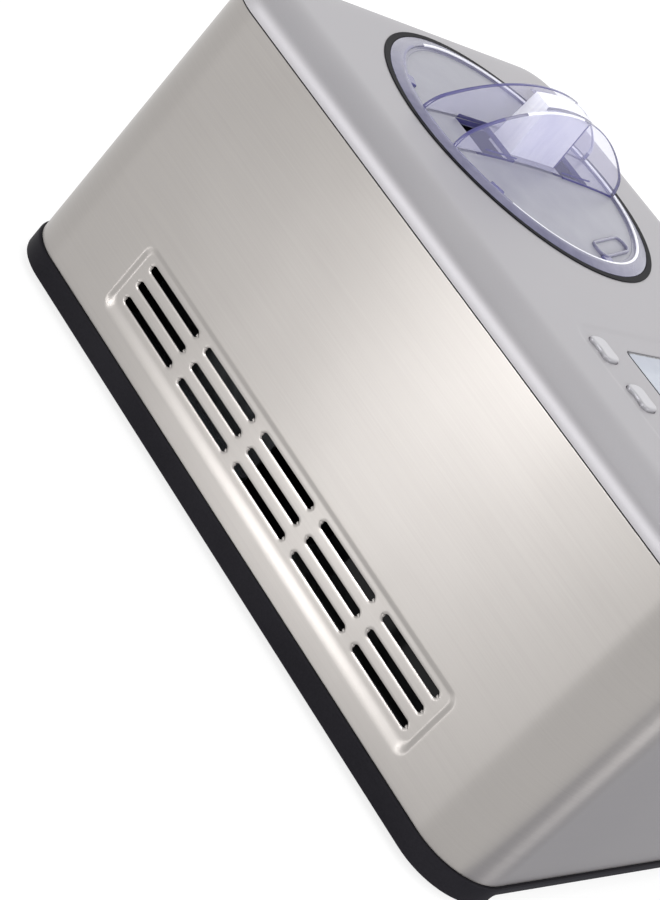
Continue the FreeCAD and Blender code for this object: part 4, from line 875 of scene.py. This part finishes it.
@dataclass
class TopCover(Footprint):
    """The lacquered cover with its rounded edge, sunk panel, window and buttons, in millimetres."""

    low: float = 174.3
    high: float = 189.0
    skirt: float = 0.9
    wall: float = 2.5
    tight: float = 9.0
    wide: float = 34.84
    change: float = 54.5
    edge_width: float = 24.0
    tight_steps: int = 8
    wide_steps: int = 12
    bowl_y: float = 93.0
    bowl_hole: float = 84.2
    hole_steps: int = 160
    tool_reach: float = 20.0
    panel_half: float = 86.0
    panel_rise: float = 40.0
    panel_y: float = -72.0
    panel_corner: float = 10.0
    panel_depth: float = 0.4
    window_half: float = 52.0
    window_rise: float = 24.25
    window_y: float = -67.75
    window_corner: float = 3.0
    # Width of the band along the pane's far edge that takes the painted shadow.
    shadow_line_width: float = 2.0
    button_x: float = 75.0
    button_back: float = -46.5
    button_front: float = -75.0
    post_half: float = 3.0
    post_low: float = 174.0
    post_high: float = 185.8
    post_x: float = 88.0
    post_rows: Point = (-38.0, -100.0)

    def __post_init__(self) -> None:
        """Lay out the sunk floor, the pane and the four buttons."""
        self.floor = self.high - self.panel_depth
        self.pane = rounded(self.window_half, self.window_rise, self.window_corner, 0.0, self.window_y, 6, 0.8)
        self.buttons = [Button(f"button_{side}_{row}", x, y)
                        for side, x in (("left", -self.button_x), ("right", self.button_x))
                        for row, y in (("back", self.button_back), ("front", self.button_front))]

    def edge(self) -> list[Point]:
        """Draw the section of the rounded edge.

        Returns:
            Inset and height above the cover's foot of its points.
        """
        steps = [(0.28, 0.0), (0.06, 0.1)]
        for k in range(self.tight_steps + 1):
            a = math.radians(self.change) * k / self.tight_steps
            steps.append((self.tight - self.tight * math.cos(a), self.skirt + self.tight * math.sin(a)))
        for k in range(1, self.wide_steps + 1):
            a = math.radians(self.change + (90 - self.change) * k / self.wide_steps)
            rise = self.high - self.low - self.wide + self.wide * math.sin(a)
            steps.append((self.edge_width - self.wide * math.cos(a), rise))
        return [*steps, (self.edge_width + 1.8, self.high - self.low)]

    def build_shell(self) -> None:
        """Make the cover with all its openings."""
        maker = MeshMaker()
        loops = [maker.level(self.inset(by), self.low + up) for by, up in self.edge()]
        maker.stack(loops)
        sunk = rounded(self.panel_half, self.panel_rise, self.panel_corner, 0.0, self.panel_y, 10, 1.5)
        border = [maker.level(grown(sunk, out), self.high - self.panel_depth * sink) for out, sink in (
            (3.4, 0.0), (2.6, 0.0), (1.8, 0.06), (1.0, 0.22), (0.2, 0.5), (-0.6, 0.78), (-1.4, 0.94), (-2.2, 1.0),
            (-3.0, 1.0))]
        maker.panel([loops[-1], border[0]])
        maker.stack(border)
        openings = [partial(grown, self.pane), *[key.outline for key in self.buttons]]
        holes = []
        for opening in openings:
            lip = [maker.level(opening(out), self.floor - sink)
                   for out, sink in ((1.5, 0.0), (0.7, 0.0), (0.45, 0.08), (0.3, 0.3), (0.3, 0.8))]
            maker.stack(lip)
            holes.append(lip[0])
        maker.panel([border[-1], *holes])
        shell = thickened(maker.done("cover_shell", [Look.COVER]), self.wall)
        maker = MeshMaker()
        turn = [2 * math.pi * k / self.hole_steps for k in range(self.hole_steps)]
        round_hole = [(self.bowl_hole * math.cos(a), self.bowl_y + self.bowl_hole * math.sin(a)) for a in turn]
        maker.solid([maker.level(round_hole, z) for z in (self.low - self.tool_reach, self.high + self.tool_reach)])
        carved(shell, maker.done("bowl_tool", [Look.COVER]))
        placed(shaded(shell, sharp=40.0), "housing", "cover_silver", "top_cover")

    def build_posts(self) -> None:
        """Make the four moulded posts that carry the control board."""
        maker = MeshMaker()
        for x in (-self.post_x, self.post_x):
            for y in self.post_rows:
                post = rounded(self.post_half, self.post_half, 0.7, x, y, 4)
                maker.solid([maker.level(grown(post, out), z) for z, out in (
                    (self.post_low, -0.3), (self.post_low + 0.3, 0.0), (self.post_high - 0.8, 0.0),
                    (self.post_high, 0.1))])
        placed(shaded(maker.done("board_posts", [Look.COVER])), "housing", "cover_silver")

    def build_window(self) -> None:
        """Make the display pane, with painted shadow on its sides and along its far edge."""
        maker = MeshMaker()
        low = [maker.level(grown(self.pane, out), self.floor + z) for out, z in (
            (2.8, -4.3), (2.8, -2.6), (-0.15, -2.6), (-0.15, -0.35), (-0.4, -0.05), (-0.7, 0.0))]
        # The pane's sides and chamfer take the dark finish: painted shadow in the gap round the pane.
        maker.stack(low, 1)
        band_inner_edge = maker.level(grown(self.pane, -1.4), self.floor)
        # Only the back part of the band inside the chamfer takes the dark finish: a painted shadow line.
        for i in range(len(band_inner_edge)):
            j = (i + 1) % len(band_inner_edge)
            at_back = min(low[-1][i].co.y, low[-1][j].co.y) > self.window_y + self.window_rise - self.shadow_line_width
            maker.face([low[-1][i], low[-1][j], band_inner_edge[j], band_inner_edge[i]], int(at_back))
        maker.face(band_inner_edge, 0)
        maker.face(low[0][::-1], 0)
        placed(shaded(maker.done("display_pane", [Look.WINDOW, Look.BORDER])), "housing", "window_clear",
               "display_window")

    def build(self) -> None:
        """Make every piece of the cover."""
        self.build_shell()
        self.build_posts()
        self.build_window()
        for key in self.buttons:
            key.build()


# ---- bowl, ring and lid


class LidLook(IntEnum):
    """Numbers of the lid's finishes."""

    CLEAR = 0
    EDGE = 1
    FLOOR = 2
    POST = 3
    RIM = 4


LID_LOOKS = [Look["LID_" + part.name] for part in LidLook]


@dataclass
class BowlSet:
    """The black ring, the lift-out bowl and the clear lid with its twin-arch handle, in millimetres."""

    y: float = 93.0
    ring_out: float = 84.0
    ring_in: float = 80.5
    ring_low: float = 180.5
    ring_high: float = 189.5
    ring_bead: float = 81.6
    bead_drop: float = 0.8
    ring_flange: float = 84.9
    flange_low: float = 189.05
    ledge: float = 183.0
    ledge_bore: float = 75.5
    bowl_out: float = 69.9
    bowl_in: float = 68.4
    bowl_low: float = 66.8
    bowl_floor: float = 68.3
    bowl_rim: float = 75.0
    rim_low: float = 180.5
    rim_high: float = 182.3
    tube_in: float = 8.0
    tube_out: float = 9.5
    tube_high: float = 147.8
    lid_radius: float = 79.9
    lid_lip: float = 81.3
    lid_step: float = 73.5
    lid_top: float = 191.2
    plate_low: float = 187.4
    plate_high: float = 189.9
    dome: float = 2.4
    arch_half: float = 73.0
    arch_foot: float = 188.2
    arch_level: float = 189.9
    arch_end: float = 14.0
    arch_rise: float = 33.5
    arch_taper: float = 0.0087
    arch_inner: float = 12.2
    arch_outer: float = 14.4
    post_half: float = 20.0
    post_front: float = 7.5
    post_wall: float = 2.5
    chutes: tuple[Point, ...] = ((-48.0, -20.5), (20.5, 48.0))
    tab_angles: tuple[float, ...] = (152.0, 212.0, 272.0)
    rib_place: Point = (17.0, 32.0)
    rib_turn: float = 17.0
    strip_width: float = 0.9
    bead_high: float = 1.0
    bead_proud: float = 0.5
    # Where the lid's arch edges and rim top get a pale painted highlight or a deep lilac painted shade, in x and in y
    # from the bowl's axis.
    pale_front: Point = (-46.0, 12.0)
    pale_back: float = 18.0
    rim_shade_side: float = -25.0
    rim_shade_near: float = -40.0
    fade: float = 6.0

    @property
    def floor_radius(self) -> float:
        """Radius of the lid's domed floor."""
        return self.lid_step - 2.0

    def dome_at(self, radius: float) -> float:
        """Return how far the floor's dome rises at a radius."""
        return self.dome * (1 - (radius / self.floor_radius) ** 2)

    def build_ring(self) -> None:
        """Make the black ring with its ledge."""
        maker = MeshMaker()
        top = self.ring_high - self.bead_drop
        maker.turned(softened([
            (self.ledge_bore, self.ring_low, 0.3), (self.ring_out, self.ring_low, 0.3),
            (self.ring_out, self.flange_low, 0.1), (self.ring_flange, self.flange_low, 0.1),
            (self.ring_flange, self.ring_high, 0.2), (self.ring_bead, self.ring_high, 0.15),
            (self.ring_bead, top, 0.1), (self.ring_in, top, 0.3), (self.ring_in, self.ledge, 0.4),
            (self.ledge_bore, self.ledge, 0.3)]), 0.0, self.y, 160)
        placed(shaded(maker.done("black_ring", [Look.RING])), "housing", "ring_black", "lid_ring")

    def build_bowl(self) -> None:
        """Make the spun bowl with its rolled rim and middle tube."""
        maker = MeshMaker()
        maker.turned(softened([
            (self.tube_in, self.bowl_low, 0.3), (self.bowl_out, self.bowl_low, 4.5),
            (self.bowl_out, self.rim_low, 0.4), (self.bowl_rim, self.rim_low, 0.5),
            (self.bowl_rim, self.rim_high, 0.8), (self.bowl_in, self.rim_high, 1.2),
            (self.bowl_in, self.bowl_floor, 3.6), (self.tube_out, self.bowl_floor, 1.0),
            (self.tube_out, self.tube_high, 0.4), (self.tube_in, self.tube_high, 0.3)], 6), 0.0, self.y, 128)
        placed(shaded(maker.done("spun_bowl", [Look.BOWL])), "bowl", "bowl_aluminium", "bowl")

    def crest(self, half: float, drop: float = 0.0, steps: int = 40) -> list[Point]:
        """Draw the top line of the handle from right to left.

        Args:
            half: How far it goes either way.
            drop: How far below the outside line it runs.
            steps: Chords in it.

        Returns:
            Points across and up.
        """
        end_x = self.arch_half - self.arch_end
        wide = (end_x ** 2 + self.arch_rise ** 2 - self.arch_end ** 2) / (2 * (self.arch_rise - self.arch_end))
        middle = self.arch_level + self.arch_rise - wide
        knee = wide * end_x / (wide - self.arch_end)
        points = []
        for k in range(steps + 1):
            x = half * math.cos(math.pi * k / steps)
            if abs(x) <= knee:
                z = middle + math.sqrt(wide ** 2 - x * x)
            else:
                z = self.arch_level + math.sqrt(max(self.arch_end ** 2 - (abs(x) - end_x) ** 2, 0.0))
            points.append((x, z - drop))
        return points

    def taper(self, z: float) -> float:
        """Return how much of its depth the handle keeps at a height."""
        return 1 - self.arch_taper * max(z - self.arch_level, 0.0)

    def plate(self, outline: list[Point], front: float, back: float, soft: float = 0.5,
              look: LidLook = LidLook.CLEAR, ends: LidLook = LidLook.CLEAR) -> Piece:
        """Make an upright plate across the lid with softened edges.

        Args:
            outline: Its outline across and up, anticlockwise.
            front: Its front face, from the bowl's axis.
            back: Its back face.
            soft: Width of the softened edge.
            look: The finish on its rim.
            ends: The finish on its faces.

        Returns:
            The closed plate.
        """
        maker = MeshMaker()
        steps = ((front, -soft), (front + 0.3 * soft, -0.3 * soft), (front + soft, 0.0), (back - soft, 0.0),
                 (back - 0.3 * soft, -0.3 * soft), (back, -soft))
        maker.solid([maker.loop([(x, self.y + at * self.taper(z), z) for x, z in grown(outline, out)])
                     for at, out in steps], look, ends)
        return maker.done("lid_plate", LID_LOOKS)

    def add_lid_details(self, lid: Piece) -> None:
        """Join the tabs inside the rim and the finger rib on the floor to the lid.

        Args:
            lid: The lid.
        """
        def swung(outline: list[Point], angle: float, x: float, y: float) -> list[Point]:
            """Turn an outline about the origin and move it."""
            turn = Matrix.Rotation(math.radians(angle), 2)
            return [(x + spot.x, y + spot.y) for spot in (turn @ Vector(p) for p in outline)]

        for angle in self.tab_angles:
            maker = MeshMaker()
            shape = swung(rounded(2.4, 4.0, 0.8, self.lid_step - 1.4, 0.0, 3), angle, 0.0, self.y)
            maker.solid([maker.level(grown(shape, out), z) for z, out in (
                (self.plate_high - 1.0, 0.0), (self.lid_top - 0.5, 0.0), (self.lid_top - 0.1, -0.3))],
                LidLook.EDGE, LidLook.EDGE)
            carved(lid, maker.done("rim_tab", LID_LOOKS), Carve.JOIN)
        maker = MeshMaker()
        shape = swung(rounded(20.0, 5.4, 5.3, steps=8), self.rib_turn, *self.rib_place)
        steps = ((0.0, -1.2), (0.0, 1.4), (-0.4, 1.8), (-1.2, 1.8), (-1.6, 1.4), (-1.6, -1.2))
        loops = [maker.level(grown(shape, out), self.plate_high + up) for out, up in steps]
        maker.stack([*loops, loops[0]], LidLook.RIM)
        carved(lid, maker.done("finger_rib", LID_LOOKS), Carve.JOIN)

    def turned_lid(self) -> Piece:
        """Turn the lid's folded rim and domed floor.

        Returns:
            Both as one piece.
        """
        inner, step, out = self.floor_radius, self.lid_step, self.lid_radius
        rise = [(r, self.dome_at(r)) for r in [inner * (1 - k / 12) for k in range(1, 13)]]
        low = [(r, self.plate_low + up) for r, up in rise]
        high = [(r, self.plate_high + up) for r, up in reversed(rise)]
        fold, lip = self.lid_top - 2.2, self.ring_high - 0.5
        rim = softened([
            (inner, self.plate_high, 0.2), (step, self.plate_high, 0.7), (step, self.lid_top, 0.5),
            (step + 2.6, self.lid_top, 1.2), (self.lid_lip, self.ring_high, 0.15), (self.lid_lip, lip, 0.1),
            (out, lip, 0.1), (out, self.ledge, 0.4), (out - 2.2, self.ledge, 0.4), (out - 2.2, fold, 0.8),
            (step + 0.2, fold, 0.8), (step + 0.2, self.ledge, 0.4), (inner, self.ledge, 0.4),
            (inner, self.plate_low, 0.6)], 4)
        profile = [*rim, *low, *high]
        looks = {i: LidLook.RIM if i < len(rim) - 1 else LidLook.FLOOR for i in range(len(profile))}
        # The top of the fold takes the post's near-white finish: a painted highlight line, which tint_edges turns to
        # painted shade towards the back left.
        looks |= {i: LidLook.POST for i, (r, z) in enumerate(rim) if r < step + 1.4 and z > self.lid_top - 0.8}
        maker = MeshMaker()
        maker.turned(profile, 0.0, self.y, 128, looks)
        return maker.done("clear_lid", LID_LOOKS)

    def join_handle(self, lid: Piece) -> None:
        """Join both arches, the post between them, its roof, the strip on its edge and the front bead to the lid.

        Args:
            lid: The lid.
        """
        foot, half, front = self.arch_foot, self.post_half, -self.post_front
        arch = [(-self.arch_half, foot), (self.arch_half, foot), *self.crest(self.arch_half)]
        post = [(-half, foot), (half, foot), *self.crest(half, 0.4, 14)]
        roof = [*reversed(self.crest(half, 2.2, 14)), *self.crest(half, 0.5, 14)]
        thin = half - self.strip_width
        strip = [(thin, foot), self.crest(thin, 0.8, 14)[0], self.crest(half, 0.8, 14)[0], (half, foot)]
        spots = [half + (self.arch_half - 3.0 - half) * k / 10 for k in range(11)]
        tops = [self.plate_high + self.bead_high + self.dome_at(math.hypot(x, self.arch_outer)) for x in spots]
        bead = [(spots[0], foot), (spots[-1], foot), *zip(reversed(spots), reversed(tops))]
        clear, edge, post_and_highlight = LidLook.CLEAR, LidLook.EDGE, LidLook.POST
        for shape in (
                (arch, -self.arch_outer, -self.arch_inner, 0.5, edge, clear),
                (arch, self.arch_inner, self.arch_outer, 0.5, edge, clear),
                (post, front, self.post_front, 0.3, post_and_highlight, post_and_highlight),
                (roof, -self.arch_inner - 1.0, self.arch_inner + 1.0, 0.1, clear, clear),
                (strip, front - 0.15, front + 0.3, 0.02, edge, edge),
                (bead, -self.arch_outer - self.bead_proud, 0.3 - self.arch_outer, 0.1, edge, edge)):
            carved(lid, self.plate(*shape), Carve.JOIN)

    def cut_openings(self, lid: Piece) -> None:
        """Hollow the post and cut both chutes through the lid's floor.

        Args:
            lid: The lid.
        """
        inside, floor = self.post_half - self.post_wall, self.plate_high + self.dome + 1.0
        hollow = [(-inside, floor), (inside, floor), *self.crest(inside, 3.0, 10)]
        carved(lid, self.plate(hollow, 2.0 - self.post_front, self.post_front - 2.0, 1.0, LidLook.POST, LidLook.POST))
        low, high, deep = self.plate_low - 3, self.plate_high + 4, self.arch_inner + 0.05
        for near, far in self.chutes:
            chute = [(near, low), (far, low), (far, high), (near, high)]
            carved(lid, self.plate(chute, -deep, deep, 0.2, LidLook.EDGE, LidLook.EDGE))

    def tint_edges(self, lid: Piece) -> None:
        """Paint highlights and shade onto the lid's edges: from deep lilac painted shade through the rim's tone to a
        pale painted highlight, as in the photograph.

        Args:
            lid: The lid.
        """
        for flat in lid.data.polygons:
            x, y, z = flat.center / MILLIMETRE
            back = y - self.y
            on_rim = z < self.lid_top + 1 and math.hypot(x, back) > self.lid_step - 1
            # Arch edges high up: pale painted highlight within the given spans, deep lilac painted shade beyond them.
            if flat.material_index == LidLook.EDGE and z > self.lid_top + 4:
                highlight_reach = min(x - self.pale_front[0], self.pale_front[1] - x) if back < 0 else x - self.pale_back
            # Top of the rim: painted highlight, turned to deep lilac painted shade towards the back left.
            elif flat.material_index == LidLook.POST and on_rim:
                highlight_reach = max(x - self.rim_shade_side, self.rim_shade_near - back)
            else:
                continue
            tone = LidLook.POST if highlight_reach > self.fade else LidLook.RIM if highlight_reach > -self.fade else LidLook.EDGE
            flat.material_index = tone

    def build_lid(self) -> None:
        """Make the lid from its turned part, its handle, its openings and its details."""
        lid = self.turned_lid()
        self.join_handle(lid)
        self.cut_openings(lid)
        self.add_lid_details(lid)
        self.tint_edges(lid)
        placed(shaded(lid, sharp=30.0), "lid", "lid_clear", "lid")

    def build(self) -> None:
        """Make the ring, bowl and lid."""
        self.build_ring()
        self.build_bowl()
        self.build_lid()


# ---- solids that keep their shape


class Inside:
    """The solids that keep their CAD shape and get a finish by their material slot."""

    LOOKS = {
        "base_black": Look.BASE, "seam_rubber": Look.RUBBER, "foot_rubber": Look.RUBBER, "paddle_white": Look.PADDLE,
        "well_aluminium": Look.WELL, "foam_white": Look.FOAM, "shaft_steel": Look.SHAFT, "sheet_steel": Look.SHEET,
        "gear_nylon": Look.NYLON, "gear_brass": Look.BRASS, "case_grey": Look.CASE, "motor_paint": Look.MOTOR,
        "pump_paint": Look.PUMP, "fin_aluminium": Look.FIN, "fan_black": Look.FAN, "pipe_copper": Look.COPPER,
        "board_green": Look.BOARD, "display_dark": Look.DISPLAY,
    }

    def dress(self) -> None:
        """Give each solid that still shows the finish of its slot."""
        slots = {entry["node"]: entry["material_slot"] for entry in frame["record"]["subparts"]}
        for name, solid in frame["nodes"].items():
            if solid.hide_render:
                continue
            look = self.LOOKS[slots[name]]
            solid.data.materials.clear()
            solid.data.materials.append(finish(look))
            LOG.info("%s wears %s", name, look.value.name)


# ---- studio


@dataclass
class Lamp:
    """A soft box that looks at a place, in metres and watts."""

    name: str
    place: Place
    target: Place
    width: float
    height: float
    power: float
    mirrored: bool = True

    def build(self) -> None:
        """Hang the soft box, and keep it out of reflections where it only fills shadows."""
        data = bpy.data.lights.new(self.name, "AREA")
        data.shape = "RECTANGLE"
        data.size, data.size_y, data.energy = self.width, self.height, self.power
        lamp = added(self.name, data)
        lamp.location = self.place
        lamp.rotation_euler = (Vector(self.target) - Vector(self.place)).to_track_quat("-Z", "Y").to_euler()
        lamp.visible_glossy = self.mirrored


@dataclass
class Studio:
    """White floor, even light and the camera of the photograph."""

    azimuth: float = -61.54
    elevation: float = 24.13
    roll: float = 43.29
    lens: float = 92.28
    sensor: float = 36.0
    clip: Point = (0.01, 50.0)
    place: Place = (-0.9378, -0.4502, 0.4921)
    world_level: float = 0.9
    ceiling: float = 0.35
    ceiling_span: Point = (0.45, 0.85)
    floor_seen: float = 0.25
    floor_glow: float = 0.8
    floor_corners: tuple[Point, Point] = ((-6.0, -6.0), (6.0, 6.0))
    card_corners: tuple[Point, Point] = ((-0.13, -0.6), (0.7, -0.206))
    card_level: float = 0.68
    lamps: tuple[Lamp, ...] = (
        Lamp("overhead", (0.3, 0.2, 2.2), (0.0, 0.0, 0.1), 1.6, 1.6, 8.0),
        Lamp("back_right", (2.0, 1.1, 1.1), (0.0, 0.0, 0.18), 2.0, 1.4, 5.0),
        Lamp("side_band", (-2.2, 0.91, 0.7), (0.0, 0.0, 0.1), 0.24, 1.6, 20.0),
        Lamp("front_fill", (-1.0, -2.2, 1.3), (0.0, 0.1, 0.2), 1.2, 1.2, 26.0, False),
        Lamp("corner_band", (0.8, -2.1, 0.7), (-0.1, -0.2, 0.1), 0.75, 1.6, 16.0),
    )

    def white_when_seen(self, add: Adder) -> Socket:
        """Tell the rays that show the surroundings from those that only light the object.

        Args:
            add: Adds nodes to a tree.

        Returns:
            A socket that is one for camera, glossy and transmission rays.
        """
        path = add("ShaderNodeLightPath").outputs
        seen = add("ShaderNodeMath", {0: path["Is Camera Ray"], 1: path["Is Glossy Ray"]}, operation="MAXIMUM")
        return add("ShaderNodeMath", {0: seen.outputs[0], 1: path["Is Transmission Ray"]},
                   operation="MAXIMUM").outputs[0]

    def laid(self, corners: tuple[Point, Point], height: float, material: bpy.types.Material) -> Piece:
        """Lay a level rectangle, named like its material.

        Args:
            corners: Two opposite corners.
            height: Its height.
            material: Its material.

        Returns:
            The rectangle.
        """
        (left, near), (right, far) = corners
        data = bpy.data.meshes.new(material.name)
        data.from_pydata([(x, y, height) for x, y in ((left, near), (right, near), (right, far), (left, far))],
                         [], [(0, 1, 2, 3)])
        data.materials.append(material)
        return added(material.name, data)

    def build_floor(self) -> None:
        """Lay the floor, white where it is seen, with a light shadow kept on it."""
        material = bpy.data.materials.new("studio_floor")
        add = adder(material)
        seen = self.white_when_seen(add)
        matt = add("ShaderNodeBsdfDiffuse", {"Color": linear("F4F4F4")})
        shade = add("ShaderNodeBsdfDiffuse", {"Color": (self.floor_seen,) * 3 + (1.0,)})
        glow = add("ShaderNodeEmission", {"Color": linear("FFFFFF"), "Strength": self.floor_glow})
        both = add("ShaderNodeAddShader", {0: shade.outputs[0], 1: glow.outputs[0]})
        mixed = add("ShaderNodeMixShader", {0: seen, 1: matt.outputs[0], 2: both.outputs[0]})
        add("ShaderNodeOutputMaterial", {"Surface": mixed.outputs[0]})
        floor = self.laid(self.floor_corners, 0.0, material)

    def build_card(self) -> None:
        """Lay a grey card before the front, which only reflections show: they darken the front face."""
        material = bpy.data.materials.new("studio_card")
        add = adder(material)
        glow = add("ShaderNodeEmission", {"Color": linear("F0F1FA"), "Strength": self.card_level})
        add("ShaderNodeOutputMaterial", {"Surface": glow.outputs[0]})
        card = self.laid(self.card_corners, MILLIMETRE, material)
        card.visible_camera = card.visible_diffuse = card.visible_shadow = card.visible_transmission = False

    def build_world(self) -> None:
        """Make the surroundings white where they are seen, less so overhead, and a plain even light elsewhere."""
        world = bpy.data.worlds.new("studio")
        add = adder(world)
        way = add("ShaderNodeTexCoord").outputs["Generated"]
        height = add("ShaderNodeSeparateXYZ", {0: way}).outputs["Z"]
        low, high = self.ceiling_span
        seen = add("ShaderNodeMapRange", {
            "Value": height, "From Min": low, "From Max": high, "To Min": 1.0, "To Max": self.ceiling})
        level = add("ShaderNodeMapRange", {
            "Value": self.white_when_seen(add), "To Min": self.world_level, "To Max": seen.outputs[0]})
        glow = add("ShaderNodeBackground", {"Color": linear("FFFFFF"), "Strength": level.outputs[0]})
        add("ShaderNodeOutputWorld", {"Surface": glow.outputs[0]})
        bpy.context.scene.world = world

    def build_camera(self) -> None:
        """Put the camera where the photograph was taken, turned about its own axis."""
        data = bpy.data.cameras.new("camera")
        data.sensor_fit = "VERTICAL"
        data.sensor_height = data.sensor_width = self.sensor
        data.lens = self.lens
        data.clip_start, data.clip_end = self.clip
        camera = added("camera", data)
        turns = [Matrix.Rotation(math.radians(angle), 4, axis) for angle, axis in (
            (self.azimuth, "Z"), (90.0 - self.elevation, "X"), (self.roll, "Z"))]
        camera.matrix_world = Matrix.Translation(self.place) @ turns[0] @ turns[1] @ turns[2]
        bpy.context.scene.camera = camera

    def build(self) -> None:
        """Set up the whole studio."""
        bpy.context.scene.view_settings.view_transform = "Standard"
        self.build_camera()
        self.build_floor()
        self.build_card()
        self.build_world()
        for lamp in self.lamps:
            lamp.build()


def main() -> None:
    """Build the machine and its studio, and give the solids that keep their shape their finishes."""
    logging.basicConfig(level=logging.INFO, format="%(message)s")
    Studio().build()
    Housing().build()
    TopCover().build()
    BowlSet().build()
    Inside().dress()


if __name__ == "__main__":
    main()
